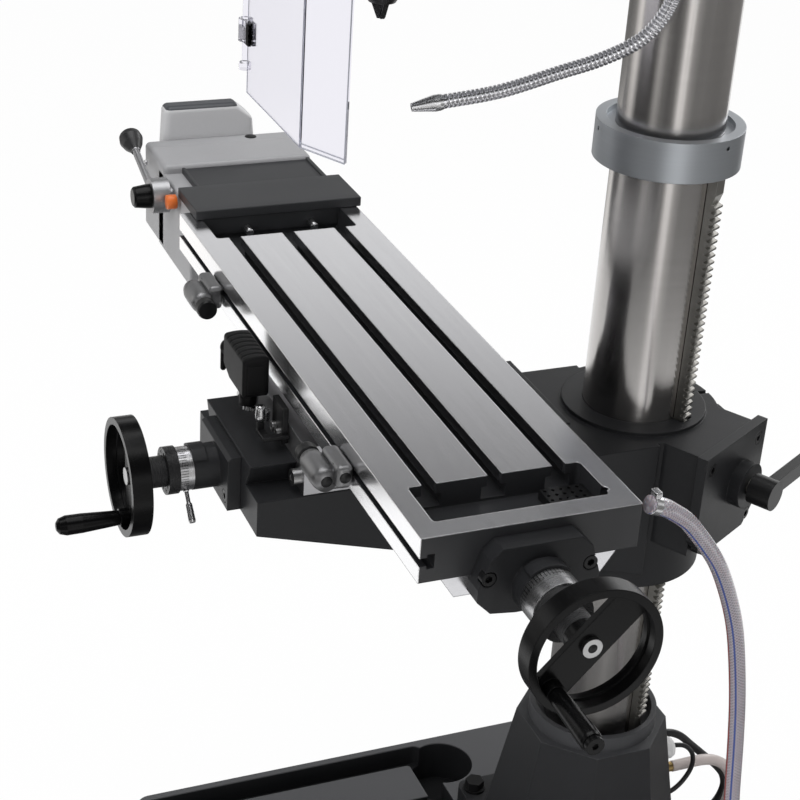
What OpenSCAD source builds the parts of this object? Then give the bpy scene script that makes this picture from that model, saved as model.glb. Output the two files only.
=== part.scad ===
// Floor-standing mill drill with a lifting table arm.
// Origin: column axis on the floor. +X operator's right, +Y towards the column's back, +Z up.

/* [Overall] */
// Height of the table top above the floor as shown
table_top_z = 865; // [855:1:875]
// Diameter of the round column
column_d = 113; // [111:0.5:115]
// Height of the column's upper end
column_top_z = 1700; // [1690:5:1720]
// Turn of the rack and of the lifting gear about the column, from +X
rack_a = 30; // [28:1:32]

/* [Base] */
// Width of the base
base_w = 480; // [470:2:500]
// Reach of the base in front of the column axis
base_front = 507; // [500:1:520]
// Reach of the base behind the column axis
base_back = 118; // [117:1:122]
// Height of the base
base_h = 120; // [114:1:126]
// Width of the rim round the coolant channel
rim_w = 9; // [7:0.5:11]
// Width of the coolant channel
channel_w = 36; // [32:1:40]
// Depth of the coolant channel
channel_deep = 30; // [24:1:34]
// Diameter of the sump well
well_d = 82; // [76:1:84]
// Width of the T-slots in the base
base_slot_w = 16; // [14:0.5:18]
// Diameter of the floor bolt holes
floor_hole_d = 16; // [14:1:18]

/* [Foot] */
// Side of the square foot flange
flange_w = 232; // [228:1:236]
// Thickness of the foot flange
flange_t = 27; // [24:1:30]
// Height of the foot's shoulder above the floor
foot_top_z = 317; // [310:1:322]
// Half width of the foot's shoulder across its flats
foot_flat = 84; // [83:0.5:87]
// Lean of the foot's sides, degrees
foot_lean = 9.5; // [9:0.25:10]
// Pitch of the foot bolts
foot_bolt_pitch = 196; // [194:1:198]

/* [Table arm] */
// Radius of the arm's column boss
boss_r = 95; // [93:1:97]
// Length of the arm's column boss
boss_h = 182; // [176:1:188]
// Half width of the arm
arm_half_w = 99; // [96:1:101]
// Reach of the arm in front of the column axis
arm_front = 467; // [462:1:470]
// Depth of the arm at its front end
arm_front_h = 38; // [34:1:44]
// Height of the raised slideway on the arm
way_h = 26; // [24:1:28]
// Half width of the slideway across its top
way_half_w = 75; // [72:1:78]
// Width across the top of the screw trough
trough_w = 44; // [42:1:46]

/* [Saddle] */
// Half width of the saddle along the table
saddle_half_w = 98; // [94:1:99]
// Length of the saddle from front to back
saddle_len = 212; // [206:1:216]
// Rest place of the table centre line in front of the column axis
table_y = 313.5; // [312:0.5:315]

/* [Table] */
// Length of the table
table_len = 734; // [730:1:738]
// Width of the table
table_w = 208.5; // [207:0.5:210]
// Height of the table's apron
apron_h = 44; // [42:1:46]
// Overall height of the table with its ways
table_h = 64; // [63:0.5:65]
// Shift of the table to the right as shown
table_shift = 10; // [8:1:12]
// Width of the table T-slots
slot_w = 14; // [13.5:0.25:14.5]
// Pitch of the table T-slots
slot_pitch = 63; // [62:0.5:64]
// Depth of the T-slots
slot_deep = 23; // [22:0.5:24]
// Width of the drain pockets across the table
pocket_w = 167.5; // [165:0.5:169]
// Length of each drain pocket
pocket_len = 59; // [56:1:61]
// Rim beyond the near pocket
pocket_rim = 22.5; // [21:0.5:25]

/* [Handwheels] */
// Outer radius of both handwheels
wheel_r = 60.5; // [59:0.5:62]
// Depth of a handwheel rim
wheel_deep = 20; // [18:0.5:22]
// Radius on which the handle stands
handle_r = 47; // [46:0.5:48]
// Height of the cross screw axis below the table top
y_screw_drop = 126; // [124:0.5:128]
// Height of the long screw axis below the table top
x_screw_drop = 50; // [49.5:0.5:50.5]
// Diameter of both lead screws
screw_d = 20; // [18:0.5:21]
// Thread lead of both lead screws
screw_lead = 5; // [4:0.5:6]

/* [Head] */
// Distance of the spindle axis in front of the column axis
throat = 326; // [322:1:330]
// Height of the chuck jaws' tip above the floor as shown
chuck_tip_z = 1192; // [1188:1:1200]
// Height of the head's underside
head_z = 1318; // [1314:1:1326]
// Height of the gear head
head_h = 330; // [320:2:340]
// Half width of the gear head
head_half_w = 125; // [120:1:130]
// Radius of the quill
quill_r = 37.5; // [36:0.5:38]
// Travel of the quill
quill_travel = 100; // [90:1:110]
// Radius of the motor
motor_r = 82; // [78:1:86]

/* [Guard and coolant] */
// Height of the guard's lower edge above the floor
guard_z = 1067; // [1064:1:1072]
// Height of the guard's panes
guard_h = 235; // [225:1:236]
// Width of the guard's front pane
guard_w = 176; // [172:1:180]
// Outer diameter of the gooseneck
neck_d = 14; // [13:0.5:15]
// Outer diameter of the drain hose
hose_d = 17; // [16:0.5:18]

/* [Fits] */
// Radial clearance of a running or sliding fit
run_fit = 0.05; // [0.04:0.01:0.08]
// Gap left between sliding flats
slide_gap = 0.1; // [0.08:0.01:0.15]

/* [Hidden] */
e = 0.01;
col_r = column_d / 2;
arm_top_z = table_top_z - 118;
boss_z0 = arm_top_z - 4 - boss_h;
way_top_z = arm_top_z + way_h;
saddle_z0 = arm_top_z + slide_gap;
ways_z = table_top_z - table_h;
saddle_front = table_y + saddle_len / 2;
table_x0 = table_shift - table_len / 2;
table_x1 = table_shift + table_len / 2;
table_front = table_y + table_w / 2;
table_back = table_y - table_w / 2;
y_axis_z = table_top_z - y_screw_drop;
x_axis_z = table_top_z - x_screw_drop;
plate_d = 132;
plate_t = 12;
crank_y = 18;
crank_z = table_top_z - 178;
rack_w = 16;
rack_root = 63.5;
rack_tip = 68.5;
rack_pitch = 7.854;
ring_r = 77;
ring_bore = 70.5;
collar_z = 1029;
collar_h = 42;
bracket_y = arm_front + 14;
island_half_w = base_w / 2 - rim_w - channel_w;
island_back = 147;
channel_back_w = 29;
well_x = 187;
well_y = 104;
base_slot_x = 122;
floor_hole_x = base_w / 2 + 22;
port_a_x = 200;
port_z = 84;
elbow_out = 20;
elbow_up = 36;
barb_l = 24;
gland_l = 17;
gland_x = 20;
gland_z = 254;
cable_in_z = 178;
cable_d = 6;
main_gland_x = -22;
main_gland_z = 240;
main_cable_d = 10;
supply_x = 4;
supply_z = 206;
way_foot = way_half_w - way_h * tan(30);
pinion_r = 15;
pinion_x = rack_tip - 2.5 + pinion_r;
pinion_z = crank_z - 27.5;
crank_len = 130;
clamp_z = boss_z0 + 92;
clamp_y = 98;
nut_front = table_y + 105;
y_wheel_y = 560;
wheel_back = 8;
y_handle_l = 52;
x_wheel_x = table_x1 + 107;
x_handle_l = 64;
x_wheel_turn = -43;
dove_foot = 40;
dove_top = 51.5;
dove_h = 19.8;
dove_k = (dove_top - dove_foot) / dove_h;
switch_x0 = -62;
switch_screws = [26, 40];
bracket_screw_z = table_top_z - 38;
groove_z = table_top_z - 23.6;
fitting_x = 345;
fitting_z = table_top_z - 14;
fitting_lean = 20;
fitting_l = 28;
near_stop_x = 198;
far_stop_x = -200;
feed_x = -440;
feed_z = table_top_z - 9;
feed_lean = 16.5;
neck_x = 88;
neck_y = -60;
neck_end_z = 1302;
feed_shaft_y = -throat + quill_r - 2.5 + pinion_r;
feed_shaft_z = head_z + 86;
fine_x = 70;
fine_z = head_z + 60;
gear_x = -40;
gear_z = head_z + 250;
head_clamp_y = 102;
head_wall = 12;
quill_lock_z = head_z + 60;
motor_y = -230;
guard_x = -187.5;
guard_y = -396.5;
guard_turn = 26.6;
wing_w = 59;
foot_at_gland = foot_flat + (foot_top_z - gland_z) * tan(foot_lean) - 1.2;
foot_at_main = foot_flat + (foot_top_z - main_gland_z) * tan(foot_lean) - 1.2;
foot_at_supply = foot_flat + (foot_top_z - supply_z) * tan(foot_lean) - 1.2;
foot_at_inlet = foot_flat + (foot_top_z - cable_in_z) * tan(foot_lean) - 1.2;
drain_way = [0, cos(fitting_lean), -sin(fitting_lean)];
drain_start = [fitting_x, -table_back, fitting_z] + (fitting_l + 0.1) * drain_way;
drain_route = concat([drain_start, drain_start + hose_d * drain_way], [[338, -150, 823], [331, -130, 806],
  [323, -105, 777], [315, -79, 742], [308, -58, 704], [303, -40, 662], [299, -27, 620], [294, -12, 556],
  [290, -1, 493], [286, 11, 407], [282, 21, 370], [274, 34, 335], [260, 54, 300], [243, 76, 268],
  [227, 98, 238], [213, 118, 205], [204, 131, 172]],
  [for (h = [hose_d, 0.1]) [port_a_x, base_back + elbow_out, port_z + elbow_up + h]]);
supply_route = concat([for (h = [0.1, 14]) [supply_x, foot_at_supply + barb_l + h, supply_z]], [
  [4, 164, 206], [4, 179, 204], [4, 192.5, 198.5], [4, 204.5, 189.5], [4, 213.5, 177.5], [4, 219, 164],
  [4, 221, 145], [4, 219, 126], [4, 213.5, 112.5], [4, 204.5, 100.5], [4, 192.5, 91.5], [4, 179, 86]],
  [for (h = [22, 10, 0.1]) [supply_x, base_back + barb_l + h, port_z]]);
cable_route = concat([for (h = [0.1, 6]) [gland_x, foot_at_gland + gland_l + h, gland_z]], [[20, 127, 251],
  [20, 136, 244], [20, 142.5, 234], [20, 145, 222], [20, 143.5, 210], [20, 138.5, 199], [20, 131, 189],
  [20, 121.5, 181.5]], [for (h = [-4, 4, 15.9]) [gland_x, foot_at_inlet - h, cable_in_z]]);
main_cable_route = concat([for (h = [0.1, 9]) [main_gland_x, foot_at_main + gland_l + h, main_gland_z]], [
  [-22, 136, 237], [-22, 151, 228], [-22, 168, 211], [-22, 185, 194], [-22, 201, 178], [-22, 216, 162], [-22, 226, 147],
  [-22, 230, 130], [-22, 226, 112], [-22, 216, 97.5], [-22, 202, 87.5], [-22, 184, 84]],
  [for (h = [12, 0.1]) [main_gland_x, base_back + gland_l + h, port_z]]);
neck_route = [[35.5, -273.6, 1119], [45, -218, 1129], [55, -163, 1147], [63, -125, 1160], [72, -92, 1178],
  [78, -74, 1200], [83, -65, 1226], [87, -61, 1262], [88, -60, 1288], [88, -60, 1302]];
nozzle_l = 30;
neck_ribs = 84;

base();
pedestal();
pedestal_bolts();
column();
rack_collar();
rack();
table_arm();
arm_cover();
arm_screws();
lift_pinion();
lift_worm();
lift_crank();
lift_crank_handle();
arm_clamp();
y_bracket();
y_screw();
y_dial();
y_lock();
y_handwheel();
y_handle();
saddle();
saddle_screws();
lead_nuts();
switch_bracket();
limit_switch();
switch_lever();
table();
strainer();
table_stops();
table_screws();
x_bracket();
x_screw();
x_dial();
x_handwheel();
x_handle();
feed_cover();
feed_body();
feed_lever();
feed_knob();
hose_fitting();
base_fittings();
drain_hose();
supply_hose();
power_cable();
gooseneck();
neck_ends();
head();
quill();
spindle();
chuck();
feed_hub();
fine_feed();
gear_lever();
quill_lock();
motor();
control_box();
start_button();
stop_button();
guard_rod();
guard();

$fn = 28;

// Shared shapes

// Block with round vertical corners
module rbox(x0, x1, y0, y1, z0, z1, r) {
  translate([x0 + r, y0, z0]) cube([x1 - x0 - 2 * r, y1 - y0, z1 - z0]);
  translate([x0, y0 + r, z0]) cube([x1 - x0, y1 - y0 - 2 * r, z1 - z0]);
  for (x = [x0 + r, x1 - r])
    for (y = [y0 + r, y1 - r])
      translate([x, y, z0]) cylinder(r = r, h = z1 - z0, $fn = 20);
}

module block(x0, x1, y0, y1, z0, z1) {
  translate([x0, y0, z0]) cube([x1 - x0, y1 - y0, z1 - z0]);
}

// Rod along +X from x0 to x1
module xrod(x0, x1, y, z, r, f = 24) {
  translate([x0, y, z]) rotate([0, 90, 0]) cylinder(r = r, h = x1 - x0, $fn = f);
}

// Rod along +Y from y0 to y1
module yrod(x, y0, y1, z, r, f = 24) {
  translate([x, y0, z]) rotate([-90, 0, 0]) cylinder(r = r, h = y1 - y0, $fn = f);
}

module zrod(x, y, z0, z1, r, f = 24) {
  translate([x, y, z0]) cylinder(r = r, h = z1 - z0, $fn = f);
}

// Socket head screw, head on +Z with its seat at z = 0
module socket_screw(head_r, head_l, r, l) {
  difference() {
    cylinder(r = head_r, h = head_l, $fn = 20);
    translate([0, 0, head_l * 0.4]) cylinder(r = head_r * 0.55, h = head_l, $fn = 6);
  }
  translate([0, 0, -l]) cylinder(r = r, h = l + e, $fn = 16);
}

// Solid of revolution about +Z from [radius, height] pairs
module turned(pts, f = 24) {
  rotate_extrude($fn = f) polygon(pts);
}

// Distance of the foot's leaning back face from the column axis
function foot_back(z) = foot_flat + (foot_top_z - z) * tan(foot_lean);

// Stand

module base() {
  color([0.2, 0.2, 0.21])
  difference() {
    union() {
      rbox(-base_w / 2, base_w / 2, -base_front, base_back, 0, base_h, 18);
      for (s = [-1, 1])
        for (y = [-430, 40])
          rbox(s * (base_w / 2 + 15) - 25, s * (base_w / 2 + 15) + 25, y - 28, y + 28, 0, 22, 8);
    }
    difference() {
      rbox(-base_w / 2 + rim_w, base_w / 2 - rim_w, -base_front + rim_w, -island_back + channel_back_w,
        base_h - channel_deep, base_h + 1, 12);
      rbox(-island_half_w, island_half_w, -base_front + rim_w + channel_w, -island_back,
        base_h - channel_deep - 1, base_h + 2, 5);
    }
    zrod(-well_x, -well_y, base_h - 58, base_h + 1, well_d / 2, 32);
    for (x = [-base_slot_x, 0, base_slot_x]) {
      block(x - base_slot_w / 2, x + base_slot_w / 2, -base_front + rim_w + channel_w - 1, -island_back + 1,
        base_h - 14, base_h + 1);
      block(x - 14, x + 14, -base_front + rim_w + channel_w - 1, -island_back + 1, base_h - 25, base_h - 13);
    }
    difference() {
      rbox(-base_w / 2 + 14, base_w / 2 - 14, -base_front + 14, base_back - 14, -1, base_h - 66, 10);
      block(-60, 60, -60, 60, -2, base_h);
    }
    for (s = [-1, 1])
      for (y = [-430, 40])
        zrod(s * floor_hole_x, y, -1, 23, floor_hole_d / 2, 20);
    for (x = [-1, 1])
      for (y = [-1, 1])
        zrod(x * foot_bolt_pitch / 2, y * foot_bolt_pitch / 2, base_h - 30, base_h + 1, 7 + run_fit, 20);
    for (x = [port_a_x, supply_x]) yrod(x, base_back - 15, base_back + 1, port_z, 8 + run_fit, 20);
    yrod(main_gland_x, base_back - 15, base_back + 1, port_z, 9 + run_fit, 20);
  }
}

// Eight-sided foot with leaning sides, square flange and rack ring
module pedestal() {
  color([0.22, 0.22, 0.23])
  difference() {
    union() {
      rbox(-flange_w / 2, flange_w / 2, -flange_w / 2, flange_w / 2, base_h, base_h + flange_t, 12);
      difference() {
        block(-130, 130, -130, 130, base_h + flange_t - 1, foot_top_z);
        for (k = [0:7])
          rotate([0, 0, k * 45])
            translate([foot_flat, 0, foot_top_z])
              rotate([0, -foot_lean, 0]) block(0, 120, -160, 160, -260, 60);
      }
      zrod(0, 0, foot_top_z - 1, foot_top_z + 20, ring_r, 32);
    }
    zrod(0, 0, base_h + 12, foot_top_z + 21, col_r + run_fit, 32);
    zrod(0, 0, foot_top_z, foot_top_z + 21, ring_bore, 32);
    for (x = [-1, 1])
      for (y = [-1, 1])
        zrod(x * foot_bolt_pitch / 2, y * foot_bolt_pitch / 2, base_h - 1, base_h + flange_t + 1, 7.5, 20);
    for (g = [[gland_x, foot_at_gland, gland_z], [main_gland_x, foot_at_main, main_gland_z]]) {
      yrod(g[0], g[1] - 14, 130, g[2], 9 + run_fit, 20);
      yrod(g[0], g[1], 130, g[2], 16.6, 24);
    }
    yrod(gland_x, foot_at_inlet - 16, 130, cable_in_z, cable_d / 2 + 0.3, 16);
    yrod(supply_x, foot_at_supply - 14, 130, supply_z, 8 + run_fit, 20);
    yrod(supply_x, foot_at_supply, 130, supply_z, 12.5, 24);
    rotate([0, 0, -170]) xrod(50, 130, 0, foot_top_z - 32, 5 + run_fit, 16);
  }
}

// Four floor bolts of the foot and the screw that locks the column
module pedestal_bolts() {
  color([0.16, 0.16, 0.17]) {
    for (x = [-1, 1])
      for (y = [-1, 1])
        translate([x * foot_bolt_pitch / 2, y * foot_bolt_pitch / 2, base_h + flange_t]) {
          cylinder(r = 14, h = 3, $fn = 24);
          translate([0, 0, 2.9]) cylinder(r = 12, h = 10, $fn = 6);
          translate([0, 0, -50]) cylinder(r = 7, h = 51, $fn = 20);
        }
  }
  color([0.6, 0.6, 0.6])
  rotate([0, 0, -170]) {
    xrod(col_r + 0.1, 99, 0, foot_top_z - 32, 5, 16);
    xrod(99 - e, 113, 0, foot_top_z - 32, 9, 20);
    translate([106, 0, foot_top_z - 46]) cylinder(r = 3, h = 28, $fn = 16);
  }
}

module column() {
  color([0.75, 0.75, 0.76])
  difference() {
    zrod(0, 0, base_h + 12, column_top_z, col_r, 40);
    zrod(0, 0, base_h + 22, column_top_z + 1, col_r - 12, 32);
  }
}

module rack_collar() {
  color([0.7, 0.7, 0.72])
  difference() {
    translate([0, 0, collar_z])
      turned([[ring_bore, 0], [ring_r, 0], [ring_r, collar_h], [66, collar_h], [66, collar_h - 6],
        [col_r + run_fit, collar_h - 6], [col_r + run_fit, 29], [ring_bore, 29]], 40);
    for (a = [-100, 20, 140]) rotate([0, 0, a]) xrod(62, 80, 0, collar_z + 33, 2.5, 14);
  }
}

// Rack teeth: one gap is centred on the pinion's height
function rack_tooth(z) = [
  [rack_root, z - rack_pitch * 0.36],
  [rack_tip, z - rack_pitch * 0.14],
  [rack_tip, z + rack_pitch * 0.14],
  [rack_root, z + rack_pitch * 0.36]
];

module rack() {
  teeth = [for (i = [-40:42]) each rack_tooth(pinion_z + (i + 0.5) * rack_pitch)];
  color([0.45, 0.45, 0.45])
  difference() {
    rotate([0, 0, rack_a])
      translate([0, rack_w / 2, 0]) rotate([90, 0, 0])
        linear_extrude(height = rack_w)
          polygon(concat([[52, foot_top_z + 1.5]], [[rack_root, foot_top_z + 1.5]], teeth,
            [[rack_root + 3.5, collar_z - 22], [rack_root + 3.5, collar_z + 27], [52, collar_z + 27]]));
    zrod(0, 0, foot_top_z - 1, collar_z + 40, col_r + 0.35, 40);
  }
}

// Table arm with boss, slideway and gear box

module table_arm() {
  color([0.2, 0.2, 0.21])
  difference() {
    union() {
      zrod(0, 0, boss_z0, arm_top_z - 4, boss_r, 40);
      zrod(0, 0, arm_top_z - 5, arm_top_z, 80, 40);
      translate([-arm_half_w, 0, 0]) rotate([90, 0, 90])
        linear_extrude(height = 2 * arm_half_w)
          polygon([[-arm_front, arm_top_z], [-arm_front, arm_top_z - arm_front_h],
            [-80, boss_z0 + 38], [-20, boss_z0 + 20], [-20, arm_top_z - 4],
            [-118, arm_top_z - 4], [-118, arm_top_z]]);
      translate([0, -118, 0]) rotate([90, 0, 0])
        linear_extrude(height = arm_front - 118)
          polygon([[-way_half_w, way_top_z], [-way_foot, arm_top_z - 1],
            [way_foot, arm_top_z - 1], [way_half_w, way_top_z]]);
      rotate([0, 0, rack_a]) block(55, plate_d - plate_t, -58, 58, boss_z0 + 60, arm_top_z - 4);
      block(-38, 38, 60, 110, boss_z0 + 20, arm_top_z - 20);
    }
    zrod(0, 0, boss_z0 - 1, arm_top_z + 1, col_r + run_fit, 40);
    rotate([0, 0, rack_a]) {
      block(50, rack_tip + 1, -rack_w / 2 - 0.4, rack_w / 2 + 0.4, boss_z0 - 1, arm_top_z + 1);
      block(60, plate_d - plate_t + 1, -12, 30, pinion_z - 22, crank_z + 14);
      yrod(pinion_x, -46, 46, pinion_z, 7 + run_fit, 24);
      for (y = [-50, 50])
        for (z = [boss_z0 + 72, arm_top_z - 18])
          xrod(plate_d - plate_t - 22, plate_d, y, z, 4 + run_fit, 16);
    }
    block(-trough_w / 2, trough_w / 2, -nut_front, -130, y_axis_z - 22, way_top_z + 1);
    yrod(0, -arm_front - 1, -nut_front + 1, y_axis_z, screw_d / 2 + 2, 24);
    for (x = [-36, 36]) yrod(x, -arm_front - 1, -arm_front + 22, y_axis_z - 17, 4 + run_fit, 16);
    block(-3, 3, 50, 111, boss_z0 - 1, arm_top_z + 1);
    for (s = [-1, 1])
      rbox(s * 60 - 27, s * 60 + 27, -arm_front + 20, -130, boss_z0 - 20, arm_top_z - 16, 8);
    xrod(-39, 36.5, clamp_y, clamp_z, 7 + run_fit, 20);
  }
}

module arm_cover() {
  color([0.24, 0.24, 0.25])
  rotate([0, 0, rack_a])
  difference() {
    union() {
      translate([plate_d - plate_t, 0, 0]) rotate([90, 0, 90])
        linear_extrude(height = plate_t)
          polygon([[-66, arm_top_z], [-66, boss_z0 + 84], [-44, boss_z0 + 60], [44, boss_z0 + 60],
            [66, boss_z0 + 84], [66, arm_top_z]]);
      xrod(plate_d - 1, plate_d + 14, crank_y, crank_z, 26, 32);
    }
    xrod(plate_d - plate_t - 1, plate_d + 15, crank_y, crank_z, 9 + run_fit, 28);
    for (y = [-50, 50])
      for (z = [boss_z0 + 72, arm_top_z - 18]) {
        xrod(plate_d - plate_t - 1, plate_d + 1, y, z, 4.5, 16);
        xrod(plate_d - 8, plate_d + 1, y, z, 7.5, 20);
      }
  }
}

module arm_screws() {
  color([0.08, 0.08, 0.08]) {
    rotate([0, 0, rack_a])
      for (y = [-50, 50])
        for (z = [boss_z0 + 72, arm_top_z - 18])
          translate([plate_d - 8, y, z]) rotate([0, 90, 0]) socket_screw(7, 8, 4, 20);
    for (x = [-36, 36])
      translate([x, -bracket_y + 6, y_axis_z - 17]) rotate([90, 0, 0]) socket_screw(6.5, 6, 4, 24);
  }
}

// Spur gear teeth, pitch radius rp, n teeth, first tooth on -X
function gear_pts(rp, n) = [for (k = [0:n - 1]) each
  let (a = 180 + k * 360 / n, w = 360 / n)
  [
    [(rp - 3) * cos(a - w * 0.34), (rp - 3) * sin(a - w * 0.34)],
    [(rp + 1.9) * cos(a - w * 0.12), (rp + 1.9) * sin(a - w * 0.12)],
    [(rp + 1.9) * cos(a + w * 0.12), (rp + 1.9) * sin(a + w * 0.12)],
    [(rp - 3) * cos(a + w * 0.34), (rp - 3) * sin(a + w * 0.34)]
  ]];

// Pinion, worm wheel and their shaft across the rack
module lift_pinion() {
  color([0.5, 0.5, 0.5])
  rotate([0, 0, rack_a]) translate([pinion_x, 0, pinion_z]) {
    translate([0, 8, 0]) rotate([90, 0, 0])
      linear_extrude(height = 16) polygon(gear_pts(pinion_r, 12));
    translate([0, 26, 0]) rotate([90, 0, 0])
      linear_extrude(height = 16) polygon(gear_pts(14.4, 18));
    yrod(0, -45, 45, 0, 7, 24);
  }
}

module lift_worm() {
  color([0.5, 0.5, 0.5])
  rotate([0, 0, rack_a]) translate([0, crank_y, crank_z]) rotate([0, 90, 0])
    turned([[0, 66], [7, 66], [7, 70], [10.4, 71.5], [7, 73.5], [7, 75], [10.4, 76.5], [7, 78.5], [7, 80],
      [10.4, 81.5], [7, 83.5], [7, 85], [10.4, 86.5], [7, 88.5], [7, 90], [10.4, 91.5], [9, 93.5],
      [9, plate_d + 40], [0, plate_d + 40]], 24);
}

module lift_crank() {
  color([0.06, 0.06, 0.06])
  rotate([0, 0, rack_a]) translate([plate_d + 18, crank_y, crank_z])
  difference() {
    union() {
      xrod(0, 27, 0, 0, 17, 28);
      block(8, 20, 0, crank_len, -9, 9);
      xrod(5, 24, crank_len, 0, 14, 24);
      xrod(20, 104, crank_len, 0, 5, 20);
    }
    xrod(-1, 22, 0, 0, 9 + run_fit, 28);
  }
}

module lift_crank_handle() {
  color([0.05, 0.05, 0.05])
  rotate([0, 0, rack_a]) translate([plate_d + 18, crank_y + crank_len, crank_z]) rotate([0, 90, 0])
    turned([[5 + run_fit, 25], [9, 25], [13, 45], [14, 75], [12, 100], [6, 108], [0, 108], [0, 105],
      [5 + run_fit, 105]], 24);
}

module arm_clamp() {
  color([0.3, 0.3, 0.3]) {
    xrod(-60, 36, clamp_y, clamp_z, 7, 20);
    xrod(-60, -38.1, clamp_y, clamp_z, 10.5, 24);
    translate([-49, clamp_y, clamp_z]) rotate([-160, 0, 0]) {
      zrod(0, 0, 8, 85, 5, 16);
      translate([0, 0, 92]) sphere(r = 11, $fn = 20);
    }
  }
}

// Cross feed

// Part of a ring kept over the dial as the index plate
module index_arc() {
  difference() {
    children();
    translate([0, -bracket_y - 30, y_axis_z]) rotate([0, -48, 0]) block(-60, 0, 0, 30, -60, 60);
    translate([0, -bracket_y - 30, y_axis_z]) rotate([0, 48, 0]) block(0, 60, 0, 30, -60, 60);
    yrod(0, -bracket_y - 28, -bracket_y - 11, y_axis_z, 22.9, 32);
  }
}

module y_bracket() {
  color([0.24, 0.24, 0.25])
  difference() {
    union() {
      translate([-46, 0, 0]) rotate([90, 0, 90])
        linear_extrude(height = 92)
          polygon([[-arm_front, y_axis_z - 29], [-bracket_y, y_axis_z - 29], [-bracket_y, y_axis_z + 27],
            [-bracket_y + 4, y_axis_z + 30], [-arm_front, y_axis_z + 30]]);
      yrod(0, -bracket_y - 26, -bracket_y + 1, y_axis_z, 23, 32);
      index_arc() yrod(0, -bracket_y - 27, -bracket_y - 12, y_axis_z, 25, 32);
    }
    yrod(0, -bracket_y - 27, -arm_front + 1, y_axis_z, 8 + run_fit, 24);
    for (x = [-36, 36]) {
      yrod(x, -bracket_y - 1, -arm_front + 1, y_axis_z - 17, 4.5, 16);
      yrod(x, -bracket_y - 1, -bracket_y + 6, y_axis_z - 17, 7, 20);
    }
  }
}

module y_screw() {
  color([0.55, 0.55, 0.55]) {
    yrod(0, -y_wheel_y - 9.1, -arm_front + 1, y_axis_z, 8, 24);
    yrod(0, -arm_front + 1 - e, -140, y_axis_z, screw_d / 2, 24);
    yrod(0, -y_wheel_y - 13, -y_wheel_y - 9.1 + e, y_axis_z, 9, 24);
  }
}

// Dial, and the knurled flange that carries the cross handwheel
module y_dial() {
  color([0.72, 0.72, 0.72])
  difference() {
    yrod(0, -bracket_y - 41, -bracket_y - 26.3, y_axis_z, 22.5, 32);
    yrod(0, -bracket_y - 42, -bracket_y - 26, y_axis_z, 8 + run_fit, 24);
    translate([0, -bracket_y - 34, y_axis_z]) rotate([0, 135, 0]) zrod(0, 0, 12, 40, 3 + run_fit, 14);
  }
  color([0.06, 0.06, 0.06])
  difference() {
    union() {
      yrod(0, -bracket_y - 53, -bracket_y - 41.2, y_axis_z, 24.5, 32);
      yrod(0, -y_wheel_y + wheel_back + 0.2, -bracket_y - 52, y_axis_z, 16, 28);
    }
    yrod(0, -y_wheel_y, -bracket_y - 41, y_axis_z, 8 + run_fit, 24);
    for (a = [0:30:330])
      translate([0, 0, y_axis_z]) rotate([0, a, 0])
        yrod(19.5, -bracket_y - 54, -bracket_y - 48, 0, 1.6, 14);
  }
}

module y_lock() {
  color([0.7, 0.7, 0.7])
  translate([0, -bracket_y - 34, y_axis_z]) rotate([0, 135, 0])
    turned([[0, 14], [3, 14], [3, 24], [2.2, 25], [2.2, 36], [3.4, 38], [3.8, 55], [3, 57], [0, 57]], 16);
}

// Handwheel about +Z: dished web with two windows, open side on +Z
module handwheel(pin_l) {
  difference() {
    union() {
      difference() {
        cylinder(r = wheel_r, h = wheel_deep, $fn = 40);
        translate([0, 0, 9]) cylinder(r = wheel_r - 7.5, h = wheel_deep, $fn = 40);
        translate([0, 0, -1]) cylinder(r = wheel_r - 7.5, h = 4, $fn = 40);
        difference() {
          translate([0, 0, 1]) cylinder(r = wheel_r - 9, h = 10, $fn = 40);
          block(-wheel_r, wheel_r, -17, 17, 0, 12);
        }
      }
      translate([0, 0, -wheel_back]) cylinder(r = 16, h = wheel_back + 9, $fn = 28);
      translate([handle_r, 0, 2]) cylinder(r = 9, h = wheel_deep - 2, $fn = 20);
      translate([handle_r, 0, 3]) cylinder(r = 4, h = wheel_deep + pin_l, $fn = 16);
    }
    translate([0, 0, -40]) cylinder(r = 8 + run_fit, h = 80, $fn = 24);
  }
}

// Cross handwheel, open side towards the operator, handle below
module y_handwheel() {
  color([0.05, 0.05, 0.05])
  translate([0, -y_wheel_y, y_axis_z]) rotate([90, 0, 0]) rotate([0, 0, -90]) handwheel(y_handle_l);
}

module y_handle() {
  color([0.05, 0.05, 0.05])
  translate([0, -y_wheel_y, y_axis_z - handle_r]) rotate([90, 0, 0])
    turned([[4 + run_fit, wheel_deep + 0.4], [7.5, wheel_deep + 0.4], [8, wheel_deep + 6],
      [10, wheel_deep + y_handle_l - 14], [10.2, wheel_deep + y_handle_l + 2],
      [8, wheel_deep + y_handle_l + 9], [4, wheel_deep + y_handle_l + 12], [0, wheel_deep + y_handle_l + 12.5],
      [0, wheel_deep + y_handle_l + 3.5], [4 + run_fit, wheel_deep + y_handle_l + 3.5]], 24);
}

// Saddle and what it carries

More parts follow.
